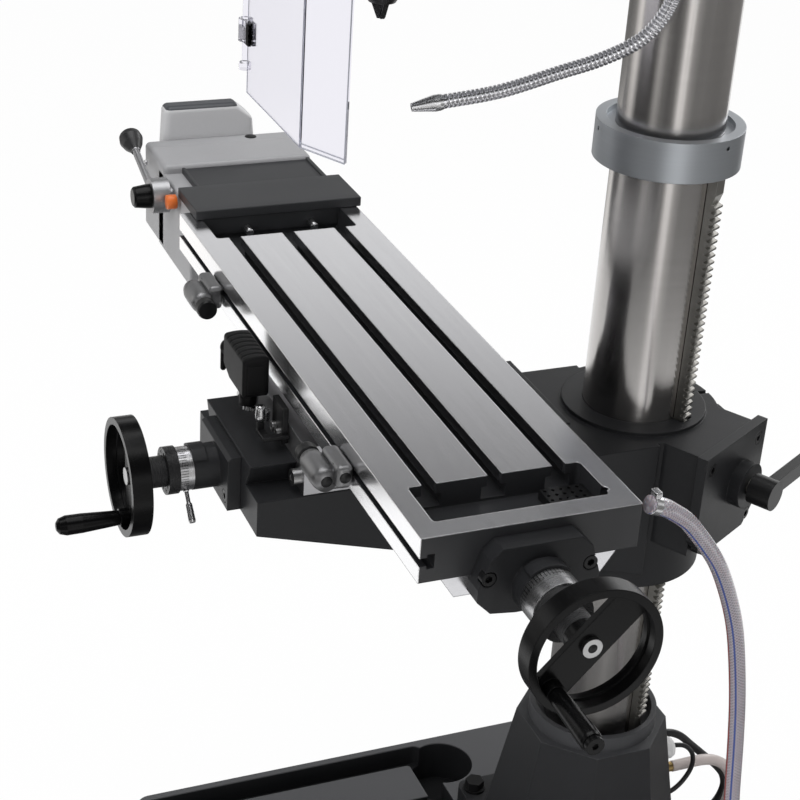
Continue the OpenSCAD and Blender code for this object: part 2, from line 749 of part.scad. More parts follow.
module saddle() {
  color([0.6, 0.6, 0.6])
  difference() {
    union() {
      block(-saddle_half_w, saddle_half_w, -saddle_front, -saddle_front + saddle_len, saddle_z0, ways_z - slide_gap);
      translate([-saddle_half_w, -table_y, 0]) rotate([90, 0, 90])
        linear_extrude(height = 2 * saddle_half_w)
          polygon([[-dove_foot, ways_z - 1], [-dove_foot, ways_z], [-dove_top, ways_z + dove_h],
            [dove_top, ways_z + dove_h], [dove_foot, ways_z], [dove_foot, ways_z - 1]]);
    }
    translate([0, -saddle_front + saddle_len + 1, 0]) rotate([90, 0, 0])
      linear_extrude(height = saddle_len + 2)
        polygon([[-way_half_w - 0.2, way_top_z + slide_gap], [-way_foot - 0.2, arm_top_z - 1],
          [way_foot + 0.2, arm_top_z - 1], [way_half_w + 0.2, way_top_z + slide_gap]]);
    block(-saddle_half_w - 1, saddle_half_w + 1, -table_y - 15, -table_y + 15, ways_z + 1, ways_z + 30);
    for (x = [-86, 86]) yrod(x, -saddle_front - 1, -saddle_front + 20, arm_top_z + 16, 4 + run_fit, 16);
    for (x = switch_screws) yrod(x, -saddle_front - 1, -saddle_front + 14, ways_z - 12, 3 + run_fit, 14);
  }
}

module saddle_screws() {
  color([0.06, 0.06, 0.06]) {
    for (x = [-86, 86])
      translate([x, -saddle_front, arm_top_z + 16]) rotate([90, 0, 0]) socket_screw(8.5, 9, 4, 18);
    for (x = switch_screws)
      translate([x, -saddle_front - 6, ways_z - 12]) rotate([90, 0, 0]) socket_screw(5, 5, 3, 18);
  }
}

// Bronze nuts of the two lead screws
module lead_nuts() {
  color([0.72, 0.5, 0.25]) {
    difference() {
      block(-18, 18, -table_y - 20, -table_y + 20, y_axis_z - 18, way_top_z + slide_gap);
      yrod(0, -table_y - 21, -table_y + 21, y_axis_z, screw_d / 2 + run_fit, 24);
    }
    difference() {
      block(-22, 22, -table_y - 14.5, -table_y + 14.5, ways_z + 1, x_axis_z + 12);
      xrod(-23, 23, -table_y, x_axis_z, screw_d / 2 + run_fit, 24);
    }
  }
}

// Angle that holds the limit switch in front of the saddle
module switch_bracket() {
  color([0.08, 0.08, 0.08])
  difference() {
    union() {
      block(18, 48, -saddle_front - 6, -saddle_front, ways_z - 22, ways_z + 10.9);
      block(switch_x0 + 16, 48, -saddle_front - 38, -saddle_front, ways_z + 4.9, ways_z + 10.9);
    }
    for (x = switch_screws) yrod(x, -saddle_front - 7, -saddle_front + 1, ways_z - 12, 3 + run_fit, 14);
    zrod(switch_x0 + 52, -table_front - 26, ways_z + 3, ways_z + 12, 9.3, 24);
  }
}

module limit_switch() {
  x0 = switch_x0;
  x1 = switch_x0 + 68;
  y0 = -table_front - 39;
  y1 = -table_front - 12;
  color([0.07, 0.07, 0.07]) {
    difference() {
      translate([0, y1, 0]) rotate([90, 0, 0])
        linear_extrude(height = y1 - y0)
          polygon([[x0, table_top_z - 44], [x0 + 22, ways_z + 11], [x1, ways_z + 11], [x1, table_top_z - 12],
            [x1 - 3, table_top_z - 9], [x0 + 3, table_top_z - 9], [x0, table_top_z - 12]]);
      block(x1 - 1.5, x1 + 1, y0 + 5, y1 - 4, ways_z + 15, table_top_z - 16);
      for (k = [0:4]) block(x0 + 8 + k * 11, x0 + 12 + k * 11, y0 - 1, y1 + 1, table_top_z - 11, table_top_z);
    }
    xrod(x0 - 9, x0 + 1, y0 + 13, table_top_z - 34, 8, 24);
    xrod(x0 - 20, x0 - 8.9, y0 + 13, table_top_z - 34, 10, 6);
    zrod(x1 - 16, y0 + 13, ways_z + 1, ways_z + 12, 9, 24);
  }
}

// Two-horned lever with rollers, struck by the bumpers of the table stops
module switch_lever() {
  color([0.6, 0.6, 0.6]) {
    zrod(switch_x0 + 52, -table_front - 26, ways_z - 9, ways_z + 0.8, 5, 20);
    for (s = [-1, 1])
      translate([switch_x0 + 52, -table_front - 26, ways_z - 8]) rotate([0, 0, 90 - s * 62]) {
        block(0, 22, -3, 3, 0, 4);
        translate([22, 0, -4]) cylinder(r = 7, h = 10, $fn = 24);
      }
  }
}

// Table and what it carries

module table() {
  pocket_x1 = table_x1 - pocket_rim;
  pocket_x0 = pocket_x1 - pocket_len;
  far_x1 = -pocket_x0 + 2 * table_shift;
  far_x0 = far_x1 - pocket_len;
  color([0.72, 0.72, 0.73])
  difference() {
    union() {
      block(table_x0, table_x1, -table_front, -table_back, table_top_z - apron_h, table_top_z);
      for (s = [-1, 1])
        translate([table_x0, -table_y, 0]) rotate([90, 0, 90])
          linear_extrude(height = table_len)
            polygon([[s * (dove_foot + 0.15 + 21 * dove_k), table_top_z - apron_h + 1],
              [s * (dove_foot + 0.15), ways_z],
              [s * 70, ways_z],
              [s * 84, table_top_z - apron_h + 1]]);
    }
    for (k = [-1:1]) {
      block(far_x0 + 20, pocket_x0 + 20, -table_y + k * slot_pitch - slot_w / 2,
        -table_y + k * slot_pitch + slot_w / 2, table_top_z - 12, table_top_z + 1);
      block(far_x0 + 20, pocket_x0 + 20, -table_y + k * slot_pitch - 12, -table_y + k * slot_pitch + 12,
        table_top_z - slot_deep, table_top_z - 11);
    }
    rbox(pocket_x0, pocket_x1, -table_y - pocket_w / 2, -table_y + pocket_w / 2,
      table_top_z - 26, table_top_z + 1, 4);
    rbox(far_x0, far_x1, -table_y - pocket_w / 2, -table_y + pocket_w / 2,
      table_top_z - 26, table_top_z + 1, 4);
    block(table_x0 - 1, table_x1 + 1, -table_front - 1, -table_front + 9, groove_z - 4, groove_z + 4);
    block(table_x0 - 1, table_x1 + 1, -table_front + 7, -table_front + 14, groove_z - 7, groove_z + 7);
    block(table_x0 - 1, table_x1 + 1, -table_y - 16, -table_y + 16, ways_z + 18, x_axis_z + 14);
    for (y = [-48, 48]) {
      xrod(table_x1 - 26, table_x1 + 1, -table_y + y, bracket_screw_z, 4 + run_fit, 16);
      xrod(table_x0 - 1, table_x0 + 26, -table_y + y, bracket_screw_z, 4 + run_fit, 16);
    }
    translate([fitting_x, -table_back, fitting_z]) rotate([-90 - fitting_lean, 0, 0])
      zrod(0, 0, (pocket_w - table_w) / 2 - 5, 8, 7 + run_fit, 20);
    zrod(pocket_x1 - 22, -table_y + pocket_w / 2 - 24, table_top_z - 34, table_top_z - 20, 3 + run_fit, 14);
  }
}

// Perforated drain strainer with its screw
module strainer() {
  x1 = table_x1 - pocket_rim - 1.5;
  y1 = -table_y + pocket_w / 2 - 1.5;
  color([0.05, 0.05, 0.05]) {
    difference() {
      block(x1 - 48, x1, y1 - 42, y1, table_top_z - 19, table_top_z - 17);
      for (i = [0:5])
        for (j = [0:4])
          zrod(x1 - 44 + i * 8, y1 - 38 + j * 8, table_top_z - 20, table_top_z - 16, 1.8, 14);
    }
    block(x1 - 48, x1 - 46, y1 - 42, y1, table_top_z - 26, table_top_z - 18);
    block(x1 - 46.1, x1, y1 - 42, y1 - 40, table_top_z - 26, table_top_z - 18);
  }
  color([0.75, 0.6, 0.3])
    translate([x1 - 20, y1 - 22, table_top_z - 17]) cylinder(r = 4.5, h = 3, $fn = 20);
}

// Travel stop clamped in the front groove, its bumper on the -X side
module stop_body(x) {
  difference() {
    union() {
      block(x - 26, x + 26, -table_front - 12, -table_front - 0.2, groove_z - 14, groove_z + 8);
      block(x - 26, x + 16, -table_front - 24, -table_front - 11, groove_z - 20, groove_z + 4);
      xrod(x - 26, x + 16, -table_front - 24, groove_z - 8, 12, 28);
    }
    yrod(x + 12, -table_front - 40, -table_front + 1, groove_z, 4 + run_fit, 16);
    yrod(x + 12, -table_front - 40, -table_front - 8, groove_z, 7, 20);
    xrod(x - 27, x + 11, -table_front - 24, groove_z - 8, 5 + run_fit, 20);
  }
}

module stop_bumper(x) {
  translate([x - 26.1, -table_front - 24, groove_z - 8]) rotate([0, -90, 0])
    turned([[0, -36], [5, -36], [5, 0], [8, 0], [11, 3], [11, 12], [10, 15], [0, 15]], 24);
}

module table_stops() {
  color([0.62, 0.62, 0.62]) {
    stop_body(near_stop_x);
    mirror([1, 0, 0]) stop_body(-far_stop_x);
  }
}

// Rubber bumpers, clamp screws with their T-nuts, and the end bracket's screws
module table_screws() {
  color([0.06, 0.06, 0.06]) {
    stop_bumper(near_stop_x);
    mirror([1, 0, 0]) stop_bumper(-far_stop_x);
    for (x = [near_stop_x + 12, far_stop_x - 12])
      translate([x, -table_front - 8, groove_z]) rotate([90, 0, 0]) {
        socket_screw(6.5, 8, 4, 17);
        translate([0, 0, -21.5]) block(-6.5, 6.5, -6.5, 6.5, 0, 6);
      }
    for (y = [-48, 48])
      translate([table_x1 + 12, -table_y + y, bracket_screw_z]) rotate([0, 90, 0]) socket_screw(6.5, 8, 4, 34);
  }
}

// Bearing bracket at the near end of the table, with the index plate over its dial
module x_bracket() {
  color([0.22, 0.22, 0.23])
  difference() {
    union() {
      translate([table_x1 + 0.1, -table_y, table_top_z]) rotate([90, 0, 90])
        linear_extrude(height = 20)
          polygon([[-37, -10], [-48, -20], [-57, -48], [-57, -60], [-44, -73], [-20, -76], [20, -76],
            [44, -73], [57, -60], [57, -48], [48, -20], [37, -10]]);
      xrod(table_x1 + 19, table_x1 + 38, -table_y, x_axis_z, 26, 32);
      intersection() {
        xrod(table_x1 + 24, table_x1 + 38, -table_y, x_axis_z, 28.5, 32);
        translate([table_x1, -table_y, x_axis_z]) rotate([0, 90, 0])
          linear_extrude(height = 60) polygon([[0, 0], [-40, -36], [-40, 36]]);
      }
    }
    xrod(table_x1 - 1, table_x1 + 39, -table_y, x_axis_z, 8 + run_fit, 24);
    for (y = [-48, 48]) {
      xrod(table_x1 - 1, table_x1 + 21, -table_y + y, bracket_screw_z, 4.5, 16);
      xrod(table_x1 + 12, table_x1 + 21, -table_y + y, bracket_screw_z, 7.5, 20);
    }
  }
}

module x_screw() {
  color([0.55, 0.55, 0.55]) {
    xrod(table_x1 - e, x_wheel_x + 9.1, -table_y, x_axis_z, 8, 24);
    xrod(table_x0 + 1, table_x1, -table_y, x_axis_z, screw_d / 2, 24);
    xrod(table_x0 - 50, table_x0 + 1 + e, -table_y, x_axis_z, 8, 24);
    xrod(x_wheel_x + 9.1 - e, x_wheel_x + 13, -table_y, x_axis_z, 9, 24);
  }
}

module x_dial() {
  color([0.45, 0.45, 0.46])
  difference() {
    xrod(table_x1 + 38.3, table_x1 + 62, -table_y, x_axis_z, 26, 32);
    xrod(table_x1 + 38, table_x1 + 63, -table_y, x_axis_z, 8 + run_fit, 24);
  }
  color([0.06, 0.06, 0.06])
  difference() {
    union() {
      xrod(table_x1 + 62.2, table_x1 + 74, -table_y, x_axis_z, 24.5, 32);
      xrod(table_x1 + 73, x_wheel_x - wheel_back - 0.2, -table_y, x_axis_z, 16, 28);
    }
    xrod(table_x1 + 62, x_wheel_x, -table_y, x_axis_z, 8 + run_fit, 24);
  }
}

module x_handwheel() {
  color([0.05, 0.05, 0.05])
  translate([x_wheel_x, -table_y, x_axis_z]) rotate([0, 90, 0]) rotate([0, 0, x_wheel_turn]) {
    handwheel(x_handle_l - 2);
    translate([handle_r, 0, wheel_deep + x_handle_l - 0.6])
      difference() {
        cylinder(r = 8, h = 4.8, $fn = 24);
        translate([0, 0, 2.8]) cylinder(r = 3, h = 4, $fn = 6);
      }
  }
}

module x_handle() {
  color([0.05, 0.05, 0.05])
  translate([x_wheel_x, -table_y, x_axis_z]) rotate([0, 90, 0]) rotate([0, 0, x_wheel_turn])
    translate([handle_r, 0, 0])
      turned([[4 + run_fit, wheel_deep + 0.4], [7.5, wheel_deep + 0.4], [8, wheel_deep + 6],
        [9.5, wheel_deep + x_handle_l - 10], [9.5, wheel_deep + x_handle_l - 4],
        [8.6, wheel_deep + x_handle_l - 1], [4 + run_fit, wheel_deep + x_handle_l - 1]], 24);
}

// Table power feed at the far end

module feed_cover() {
  x1 = table_x0 + 59;
  color([0.22, 0.22, 0.23])
  difference() {
    union() {
      block(x1 - 79, x1, -425, -224, table_top_z + 0.1, table_top_z + 10);
      block(table_x0 - 90, x1 - 78, -404, -234, table_top_z + 0.1, table_top_z + 10);
      block(x1 - 9, x1 - 1, -table_y - pocket_w / 2 + 1, -table_y + pocket_w / 2 - 1,
        table_top_z - 16, table_top_z + 1);
    }
    block(x1 - 70, x1 - 12, -395, -250, table_top_z - 1, table_top_z + 5);
  }
}

module feed_body() {
  x0 = table_x0 - 198;
  x1 = table_x0 - 0.1;
  color([0.66, 0.66, 0.67])
  difference() {
    union() {
      rbox(x0, x1 - 90, -410, -236, table_top_z - 96, table_top_z + 10, 12);
      block(x1 - 110, x1, -408, -240, table_top_z - 76, table_top_z);
      rbox(x0 - 18, x0 + 16, -404, -292, table_top_z - 90, table_top_z + 42, 8);
    }
    xrod(x1 - 51, x1 + 1, -table_y, x_axis_z, 8 + run_fit, 24);
    yrod(feed_x, -411, -380, feed_z, 9 + run_fit, 24);
  }
  color([0.85, 0.35, 0.1]) yrod(feed_x + 34, -421, -408 + e, feed_z + 2, 8, 24);
}

// Silver hub with the direction lever and its black ball
module feed_lever() {
  color([0.7, 0.7, 0.7])
  difference() {
    union() {
      yrod(feed_x, -431, -410.2, feed_z, 21, 32);
      yrod(feed_x, -410.3, -390, feed_z, 9, 24);
      translate([feed_x, -426, feed_z]) rotate([0, feed_lean, 0]) xrod(-89, -15, 0, 0, 4.5, 16);
    }
    yrod(feed_x, -432, -389, feed_z, 5 + run_fit, 20);
  }
  color([0.05, 0.05, 0.05])
  translate([feed_x, -426, feed_z]) rotate([0, feed_lean, 0]) rotate([0, -90, 0])
    turned([[0, 88], [5.5, 88], [6.5, 92], [12, 103], [14.5, 112], [13.5, 119], [9, 124.5],
      [4, 126.5], [0, 127]], 24);
}

module feed_knob() {
  color([0.05, 0.05, 0.05])
  translate([feed_x, -431.3, feed_z]) rotate([90, 0, 0])
    turned([[0, -28], [5, -28], [5, 0], [14.5, 0], [14.5, 4], [12.5, 19], [10, 21], [0, 21]], 28);
}

// Coolant return fitting in the table's back wall
module hose_fitting() {
  color([0.75, 0.6, 0.3])
  translate([fitting_x, -table_back, fitting_z]) rotate([-90 - fitting_lean, 0, 0])
    difference() {
      turned([[0, -18], [7, -18], [7, 4], [10, 4], [10, 10], [6.5, 10], [6.5, fitting_l], [0, fitting_l]], 24);
      zrod(0, 0, -19, fitting_l + 1, 4, 16);
    }
}

// Hose barb: threaded end, hexagon, ribbed end, pointing +Y from y0
module barb(x, y0, z) {
  difference() {
    translate([x, y0, z]) rotate([-90, 0, 0])
      turned([[0, -12], [8, -12], [8, 0], [11, 0], [11, 6], [6.2, 6], [6.2, barb_l], [0, barb_l]], 24);
    yrod(x, y0 - 13, y0 + barb_l + 1, z, 4, 16);
  }
}

// Elbow with its barb pointing up
module elbow(x, y0, z) {
  difference() {
    union() {
      translate([x, y0, z]) rotate([-90, 0, 0])
        turned([[0, -12], [8, -12], [8, 0], [11, 0], [11, 6], [8, 6], [8, elbow_out], [0, elbow_out]], 24);
      translate([x, y0 + elbow_out, z]) {
        sphere(r = 8, $fn = 24);
        turned([[0, 0], [8, 0], [8, 12], [6.2, 12], [6.2, elbow_up], [0, elbow_up]], 24);
      }
    }
    yrod(x, y0 - 13, y0 + elbow_out, z, 4, 16);
    zrod(x, y0 + elbow_out, z, z + elbow_up + 1, 4, 16);
  }
}

// Cable gland with its hexagon and domed nut
module gland(x, y0, z, bore_r) {
  difference() {
    translate([x, y0, z]) rotate([-90, 0, 0]) {
      turned([[0, -12], [9, -12], [9, 1], [0, 1]], 24);
      cylinder(r = 16, h = 6, $fn = 6);
      turned([[0, 5.9], [14, 5.9], [14, 11], [12, 15], [9, gland_l], [0, gland_l]], 24);
    }
    yrod(x, y0 - 13, y0 + gland_l + 1, z, bore_r, 16);
  }
}

// Drain elbow and supply barb of the base, pump outlet on the foot and three cable glands
module base_fittings() {
  color([0.75, 0.6, 0.3]) {
    elbow(port_a_x, base_back, port_z);
    barb(supply_x, base_back, port_z);
    barb(supply_x, foot_at_supply, supply_z);
  }
  color([0.85, 0.85, 0.85]) gland(gland_x, foot_at_gland, gland_z, cable_d / 2 - 0.5);
  color([0.1, 0.1, 0.1]) {
    gland(main_gland_x, foot_at_main, main_gland_z, main_cable_d / 2 - 0.5);
    gland(main_gland_x, base_back, port_z, main_cable_d / 2 - 0.5);
  }
}

// Cords and the gooseneck: hand-picked route, smoothed, evenly spaced, swept with a frame that never twists

function unit(v) = v / norm(v);

// Catmull-Rom point between b and c
function curve_at(a, b, c, d, t) =
  0.5 * (2 * b + (c - a) * t + (2 * a - 5 * b + 4 * c - d) * t * t + (3 * b - a - 3 * c + d) * t * t * t);

function smooth(p, n) = let (m = len(p) - 1) concat(
  [for (i = [0:m - 1], k = [0:n - 1])
    curve_at(p[max(i - 1, 0)], p[i], p[i + 1], p[min(i + 2, m)], k / n)],
  [p[m]]);

function lengths(q) = [for (i = 0, s = 0; i < len(q);
  i = i + 1, s = s + (i < len(q) ? norm(q[i] - q[i - 1]) : 0)) s];

// The same line as m equal steps
function even(q, m) = let (s = lengths(q), all = s[len(s) - 1], t = [for (c = [0:2])
  [for (i = [0:len(q) - 1]) [s[i], q[i][c]]]])
  [for (k = [0:m]) [for (c = [0:2]) lookup(all * k / m, t[c])]];

// Directions along a line of points, square to the route's own ends
function tangents(q, p) = let (m = len(q) - 1, n = len(p) - 1)
  [for (i = [0:m]) unit(i == 0 ? p[1] - p[0] : i == m ? p[n] - p[n - 1] : q[i + 1] - q[i - 1])];

function normals(t, seed) =
  [for (i = 0, u = unit(cross(t[0], seed)); i < len(t);
    i = i + 1, u = unit(u - (u * t[min(i, len(t) - 1)]) * t[min(i, len(t) - 1)])) u];

function ring_pts(q, t, u, r, n) =
  [for (k = [0:n - 1]) let (a = k * 360 / n) q + r * (cos(a) * u + sin(a) * cross(t, u))];

function skin(i0, rings, n) = [for (i = [0:rings - 2], k = [0:n - 1])
  [i0 + i * n + k, i0 + i * n + (k + 1) % n, i0 + (i + 1) * n + (k + 1) % n, i0 + (i + 1) * n + k]];

module cord(p, r, n, steps, seed) {
  q = even(smooth(p, 6), steps);
  t = tangents(q, p);
  u = normals(t, seed);
  polyhedron(
    points = [for (i = [0:steps]) each ring_pts(q[i], t[i], u[i], r, n)],
    faces = concat([[for (k = [0:n - 1]) k]], [for (f = skin(0, steps + 1, n)) [f[3], f[2], f[1], f[0]]],
      [[for (k = [0:n - 1]) steps * n + n - 1 - k]]));
}

module drain_hose() {
  color([0.8, 0.75, 0.78]) cord(drain_route, hose_d / 2, 10, 54, [1, 0, 0]);
}

module supply_hose() {
  color([0.75, 0.68, 0.66]) cord(supply_route, hose_d / 2 - 1.5, 10, 24, [1, 0, 0]);
}

module power_cable() {
  color([0.05, 0.05, 0.05]) {
    cord(cable_route, cable_d / 2, 8, 20, [1, 0, 0]);
    cord(main_cable_route, main_cable_d / 2, 8, 24, [1, 0, 0]);
  }
}

// Ribbed gooseneck with its bore; two rings make one rib
module gooseneck() {
  n = 8;
  q = even(smooth(neck_route, 8), 2 * neck_ribs);
  t = tangents(q, neck_route);
  u = normals(t, [1, 0, 0]);
  m = len(q);
  inner = [for (i = [0:6:m - 1]) i];
  mi = len(inner);
  o = m * n;
  color([0.75, 0.75, 0.76])
  polyhedron(
    points = concat(
      [for (i = [0:m - 1]) each ring_pts(q[i], t[i], u[i], i % 2 == 0 ? neck_d / 2 : neck_d / 2 - 0.9, n)],
      [for (i = inner) each ring_pts(q[i], t[i], u[i], neck_d / 2 - 2.6, n)]),
    faces = concat(
      [for (f = skin(0, m, n)) [f[3], f[2], f[1], f[0]]],
      skin(o, mi, n),
      [for (k = [0:n - 1]) [(k + 1) % n, o + (k + 1) % n, o + k, k]],
      [for (k = [0:n - 1]) [o + (mi - 1) * n + k, o + (mi - 1) * n + (k + 1) % n,
        (m - 1) * n + (k + 1) % n, (m - 1) * n + k]]));
}

// Nozzle at the tip and the threaded socket under the head
module neck_ends() {
  d = unit(neck_route[0] - neck_route[1]);
  color([0.6, 0.6, 0.6]) {
    translate(neck_route[0] + 0.05 * d) rotate([0, acos(d[2]), atan2(d[1], d[0])])
      turned([[2.5, 0], [7.5, 0], [8, 3], [8, 8], [4, nozzle_l], [2.5, nozzle_l]], 24);
    difference() {
      zrod(neck_x, neck_y, neck_end_z + 0.05, head_z, 11, 24);
      zrod(neck_x, neck_y, neck_end_z, head_z + 1, 4, 20);
    }
  }
}

// Gear head

// Gear head, split and clamped to the column by two bolts at its back
module head() {
  color([0.78, 0.79, 0.8])
  difference() {
    union() {
      rbox(-head_half_w, head_half_w, -420, -35, head_z, head_z + head_h, 22);
      zrod(0, 0, head_z + 10, head_z + head_h - 50, boss_r + 2, 40);
      zrod(0, -throat, head_z - 18, head_z + 1, 52, 36);
      block(-38, 38, 60, 116, head_z + 40, head_z + head_h - 90);
      xrod(head_half_w - 1, head_half_w + 8, feed_shaft_y, feed_shaft_z, 40, 32);
      block(guard_x - 9, -head_half_w + 4, guard_y - 8, guard_y + 10, head_z + 24, head_z + 40);
    }
    zrod(guard_x, guard_y, head_z + 23, head_z + 41, 4 + run_fit, 20);
    difference() {
      rbox(-head_half_w + head_wall, head_half_w - head_wall, -420 + 26, -60, head_z + head_wall,
        head_z + head_h - head_wall, 12);
      zrod(0, -throat, head_z, head_z + head_h, quill_r + 16, 36);
      zrod(0, 0, head_z, head_z + head_h, boss_r, 40);
      xrod(0, head_half_w, feed_shaft_y, feed_shaft_z, 24, 28);
    }
    zrod(0, 0, head_z - 1, head_z + head_h + 1, col_r + run_fit, 40);
    zrod(0, -throat, head_z - 19, head_z + 235, quill_r + run_fit, 36);
    zrod(0, -throat, head_z + 234, head_z + head_h - 14, 22, 28);
    block(-3, 3, 50, 117, head_z, head_z + head_h - 49);
    for (z = [head_z + 80, head_z + 200]) xrod(-39, 39, head_clamp_y, z, 7 + run_fit, 20);
    xrod(-22, head_half_w + 9, feed_shaft_y, feed_shaft_z, 12 + run_fit, 28);
    block(-14, 14, feed_shaft_y - 20, feed_shaft_y + 18, feed_shaft_z - 19, feed_shaft_z + 19);
    yrod(fine_x, -421, -396, fine_z, 8 + run_fit, 20);
    yrod(gear_x, -421, -400, gear_z, 7 + run_fit, 20);
    yrod(-95, -421, -396, quill_lock_z, 6 + run_fit, 20);
  }
  color([0.25, 0.25, 0.25])
  for (z = [head_z + 80, head_z + 200]) {
    xrod(-49, 49, head_clamp_y, z, 7, 20);
    xrod(-49, -38.1, head_clamp_y, z, 11, 6);
    xrod(38.1, 49, head_clamp_y, z, 11, 6);
  }
}

// Quill with the rack its pinion works in
module quill() {
  z0 = head_z - 28;
  color([0.72, 0.72, 0.72])
  difference() {
    zrod(0, -throat, z0, z0 + 230, quill_r, 36);
    zrod(0, -throat, z0 - 1, z0 + 231, 24, 28);
    for (k = [-4:15])
      block(-11, 11, -throat + quill_r - 5, -throat + quill_r + 1,
        feed_shaft_z + k * rack_pitch - 2.8, feed_shaft_z + k * rack_pitch + 2.8);
  }
}

module spindle() {
  z0 = head_z - 38;
  color([0.5, 0.5, 0.5])
  difference() {
    translate([0, -throat, 0])
      turned([[0, z0], [22, z0], [22, z0 + 9], [23.95, z0 + 11], [23.95, z0 + 199], [20, z0 + 199],
        [20, z0 + head_h], [0, z0 + head_h]], 32);
    translate([0, -throat, 0])
      turned([[0, z0 - 1], [12.1, z0 - 1], [9.05, z0 + 60], [0, z0 + 60]], 28);
  }
}

module chuck() {
  color([0.1, 0.1, 0.1])
  translate([0, -throat, 0]) {
    turned([[0, chuck_tip_z + 16], [13, chuck_tip_z + 16], [24, chuck_tip_z + 34], [26, chuck_tip_z + 38],
      [26, chuck_tip_z + 70], [22, chuck_tip_z + 78], [12, chuck_tip_z + 80], [12, head_z - 38.2],
      [0, head_z - 38.2]], 32);
    turned([[0, head_z - 38.3], [11.9, head_z - 38.3], [9, head_z + 20], [0, head_z + 20]], 28);
    for (a = [0, 120, 240])
      rotate([0, 0, a]) translate([0.4, 0, 0])
        translate([0, 2, 0]) rotate([90, 0, 0]) linear_extrude(height = 4)
          polygon([[0, chuck_tip_z], [3.4, chuck_tip_z], [10, chuck_tip_z + 16.1], [0, chuck_tip_z + 16.1]]);
  }
}

// Capstan of the quill feed: pinion shaft, hub, three rods and their balls
module feed_hub() {
  color([0.3, 0.3, 0.3]) {
    translate([-10, feed_shaft_y, feed_shaft_z]) rotate([0, 90, 0])
      linear_extrude(height = 20) polygon(gear_pts(pinion_r, 12));
    xrod(-21, head_half_w + 12, feed_shaft_y, feed_shaft_z, 11.95, 28);
    xrod(head_half_w + 8.3, head_half_w + 48, feed_shaft_y, feed_shaft_z, 30, 32);
    for (a = [0, 120, 240])
      translate([head_half_w + 30, feed_shaft_y, feed_shaft_z]) rotate([a, 0, 0]) zrod(0, 0, 20, 166, 6, 16);
  }
  color([0.05, 0.05, 0.05])
  for (a = [0, 120, 240])
    translate([head_half_w + 30, feed_shaft_y, feed_shaft_z]) rotate([a, 0, 0])
      turned([[0, 165.2], [7, 165.2], [14, 176], [15, 186], [10, 197], [0, 200]], 24);
}

module fine_feed() {
  color([0.05, 0.05, 0.05]) {
    yrod(fine_x, -452, -398, fine_z, 8, 20);
    translate([fine_x, -420.3, fine_z]) rotate([90, 0, 0])
      turned([[0, 0], [20, 0], [20, 10], [40, 12], [42, 16], [42, 26], [38, 28], [34, 20], [14, 20], [14, 33],
        [0, 33]], 32);
    yrod(fine_x + 34, -486, -434, fine_z, 6, 20);
  }
}

// Gear selector: hub with a short lever
module gear_lever() {
  color([0.06, 0.06, 0.06])
  translate([gear_x, -420.2, gear_z]) {
    yrod(0, 0, 18, 0, 7, 20);
    yrod(0, -16, 0.1, 0, 20, 28);
    block(-6, 6, -15, -4, 0, 52);
    zrod(0, -9.5, 50, 62, 9, 20);
  }
}

module quill_lock() {
  color([0.1, 0.1, 0.1])
  translate([-95, -420.2, quill_lock_z]) {
    yrod(0, -14, 22, 0, 6, 20);
    yrod(0, -14, 0.1, 0, 11, 20);
    rotate([0, 30, 0]) zrod(0, -9, 8, 60, 4, 16);
    rotate([0, 30, 0]) translate([0, -9, 64]) sphere(r = 8, $fn = 18);
  }
}

// Motor with its fan cowl
module motor() {
  color([0.2, 0.2, 0.22])
  difference() {
    union() {
      zrod(0, motor_y, head_z + head_h, head_z + head_h + 14, motor_r + 14, 36);
      zrod(0, motor_y, head_z + head_h + 13, head_z + head_h + 180, motor_r, 36);
      block(-50, 50, motor_y + motor_r - 20, motor_y + motor_r + 22, head_z + head_h + 60, head_z + head_h + 130);
    }
    for (a = [0:30:330])
      translate([0, motor_y, 0]) rotate([0, 0, a])
        block(motor_r - 6, motor_r + 2, -4, 4, head_z + head_h + 30, head_z + head_h + 170);
  }
  color([0.08, 0.08, 0.08])
  translate([0, motor_y, head_z + head_h + 180])
    difference() {
      turned([[0, 0], [motor_r + 2, 0], [motor_r + 2, 34], [motor_r - 12, 42], [0, 42]], 36);
      for (r = [24, 42, 60])
        for (a = [0:30:330])
          rotate([0, 0, a]) zrod(r, 0, 34, 43, 4, 14);
    }
}

module control_box() {
  color([0.1, 0.1, 0.1])
  difference() {
    rbox(-head_half_w - 74, -head_half_w - 0.1, -400, -250, head_z + 110, head_z + 290, 6);
    for (z = [head_z + 170, head_z + 230]) yrod(-head_half_w - 37, -401, -380, z, 10 + run_fit, 24);
  }
}

module start_button() {
  color([0.1, 0.5, 0.15]) yrod(-head_half_w - 37, -405, -386, head_z + 230, 10, 24);
}

module stop_button() {
  color([0.7, 0.06, 0.05]) {
    yrod(-head_half_w - 37, -412, -386, head_z + 170, 10, 24);
    translate([-head_half_w - 37, -405, head_z + 170]) rotate([90, 0, 0])
      turned([[0, -1], [18, -1], [20, 3], [18, 8], [8, 11], [0, 11]], 28);
  }
}

// Clear chuck guard on its upright rod

// Rod that turns in the head's ear, with a stop ring at each end and two clips
module guard_rod() {
  color([0.7, 0.7, 0.7]) {
    zrod(guard_x, guard_y, guard_z + 29, head_z + 60, 4, 20);
    zrod(guard_x, guard_y, guard_z + 22, guard_z + 29.1, 7, 20);
    zrod(guard_x, guard_y, head_z + 40.2, head_z + 50, 8, 20);
  }
  color([0.12, 0.12, 0.12])
  for (z = [guard_z + 52, guard_z + 180])
    difference() {
      union() {
        zrod(guard_x, guard_y, z, z + 23, 8, 24);
        block(guard_x, guard_x + 22, guard_y - 5, guard_y + 5, z, z + 23);
      }
      block(guard_x + 8, guard_x + 23, guard_y - 1.5, guard_y + 1.5, z - 1, z + 24);
    }
}

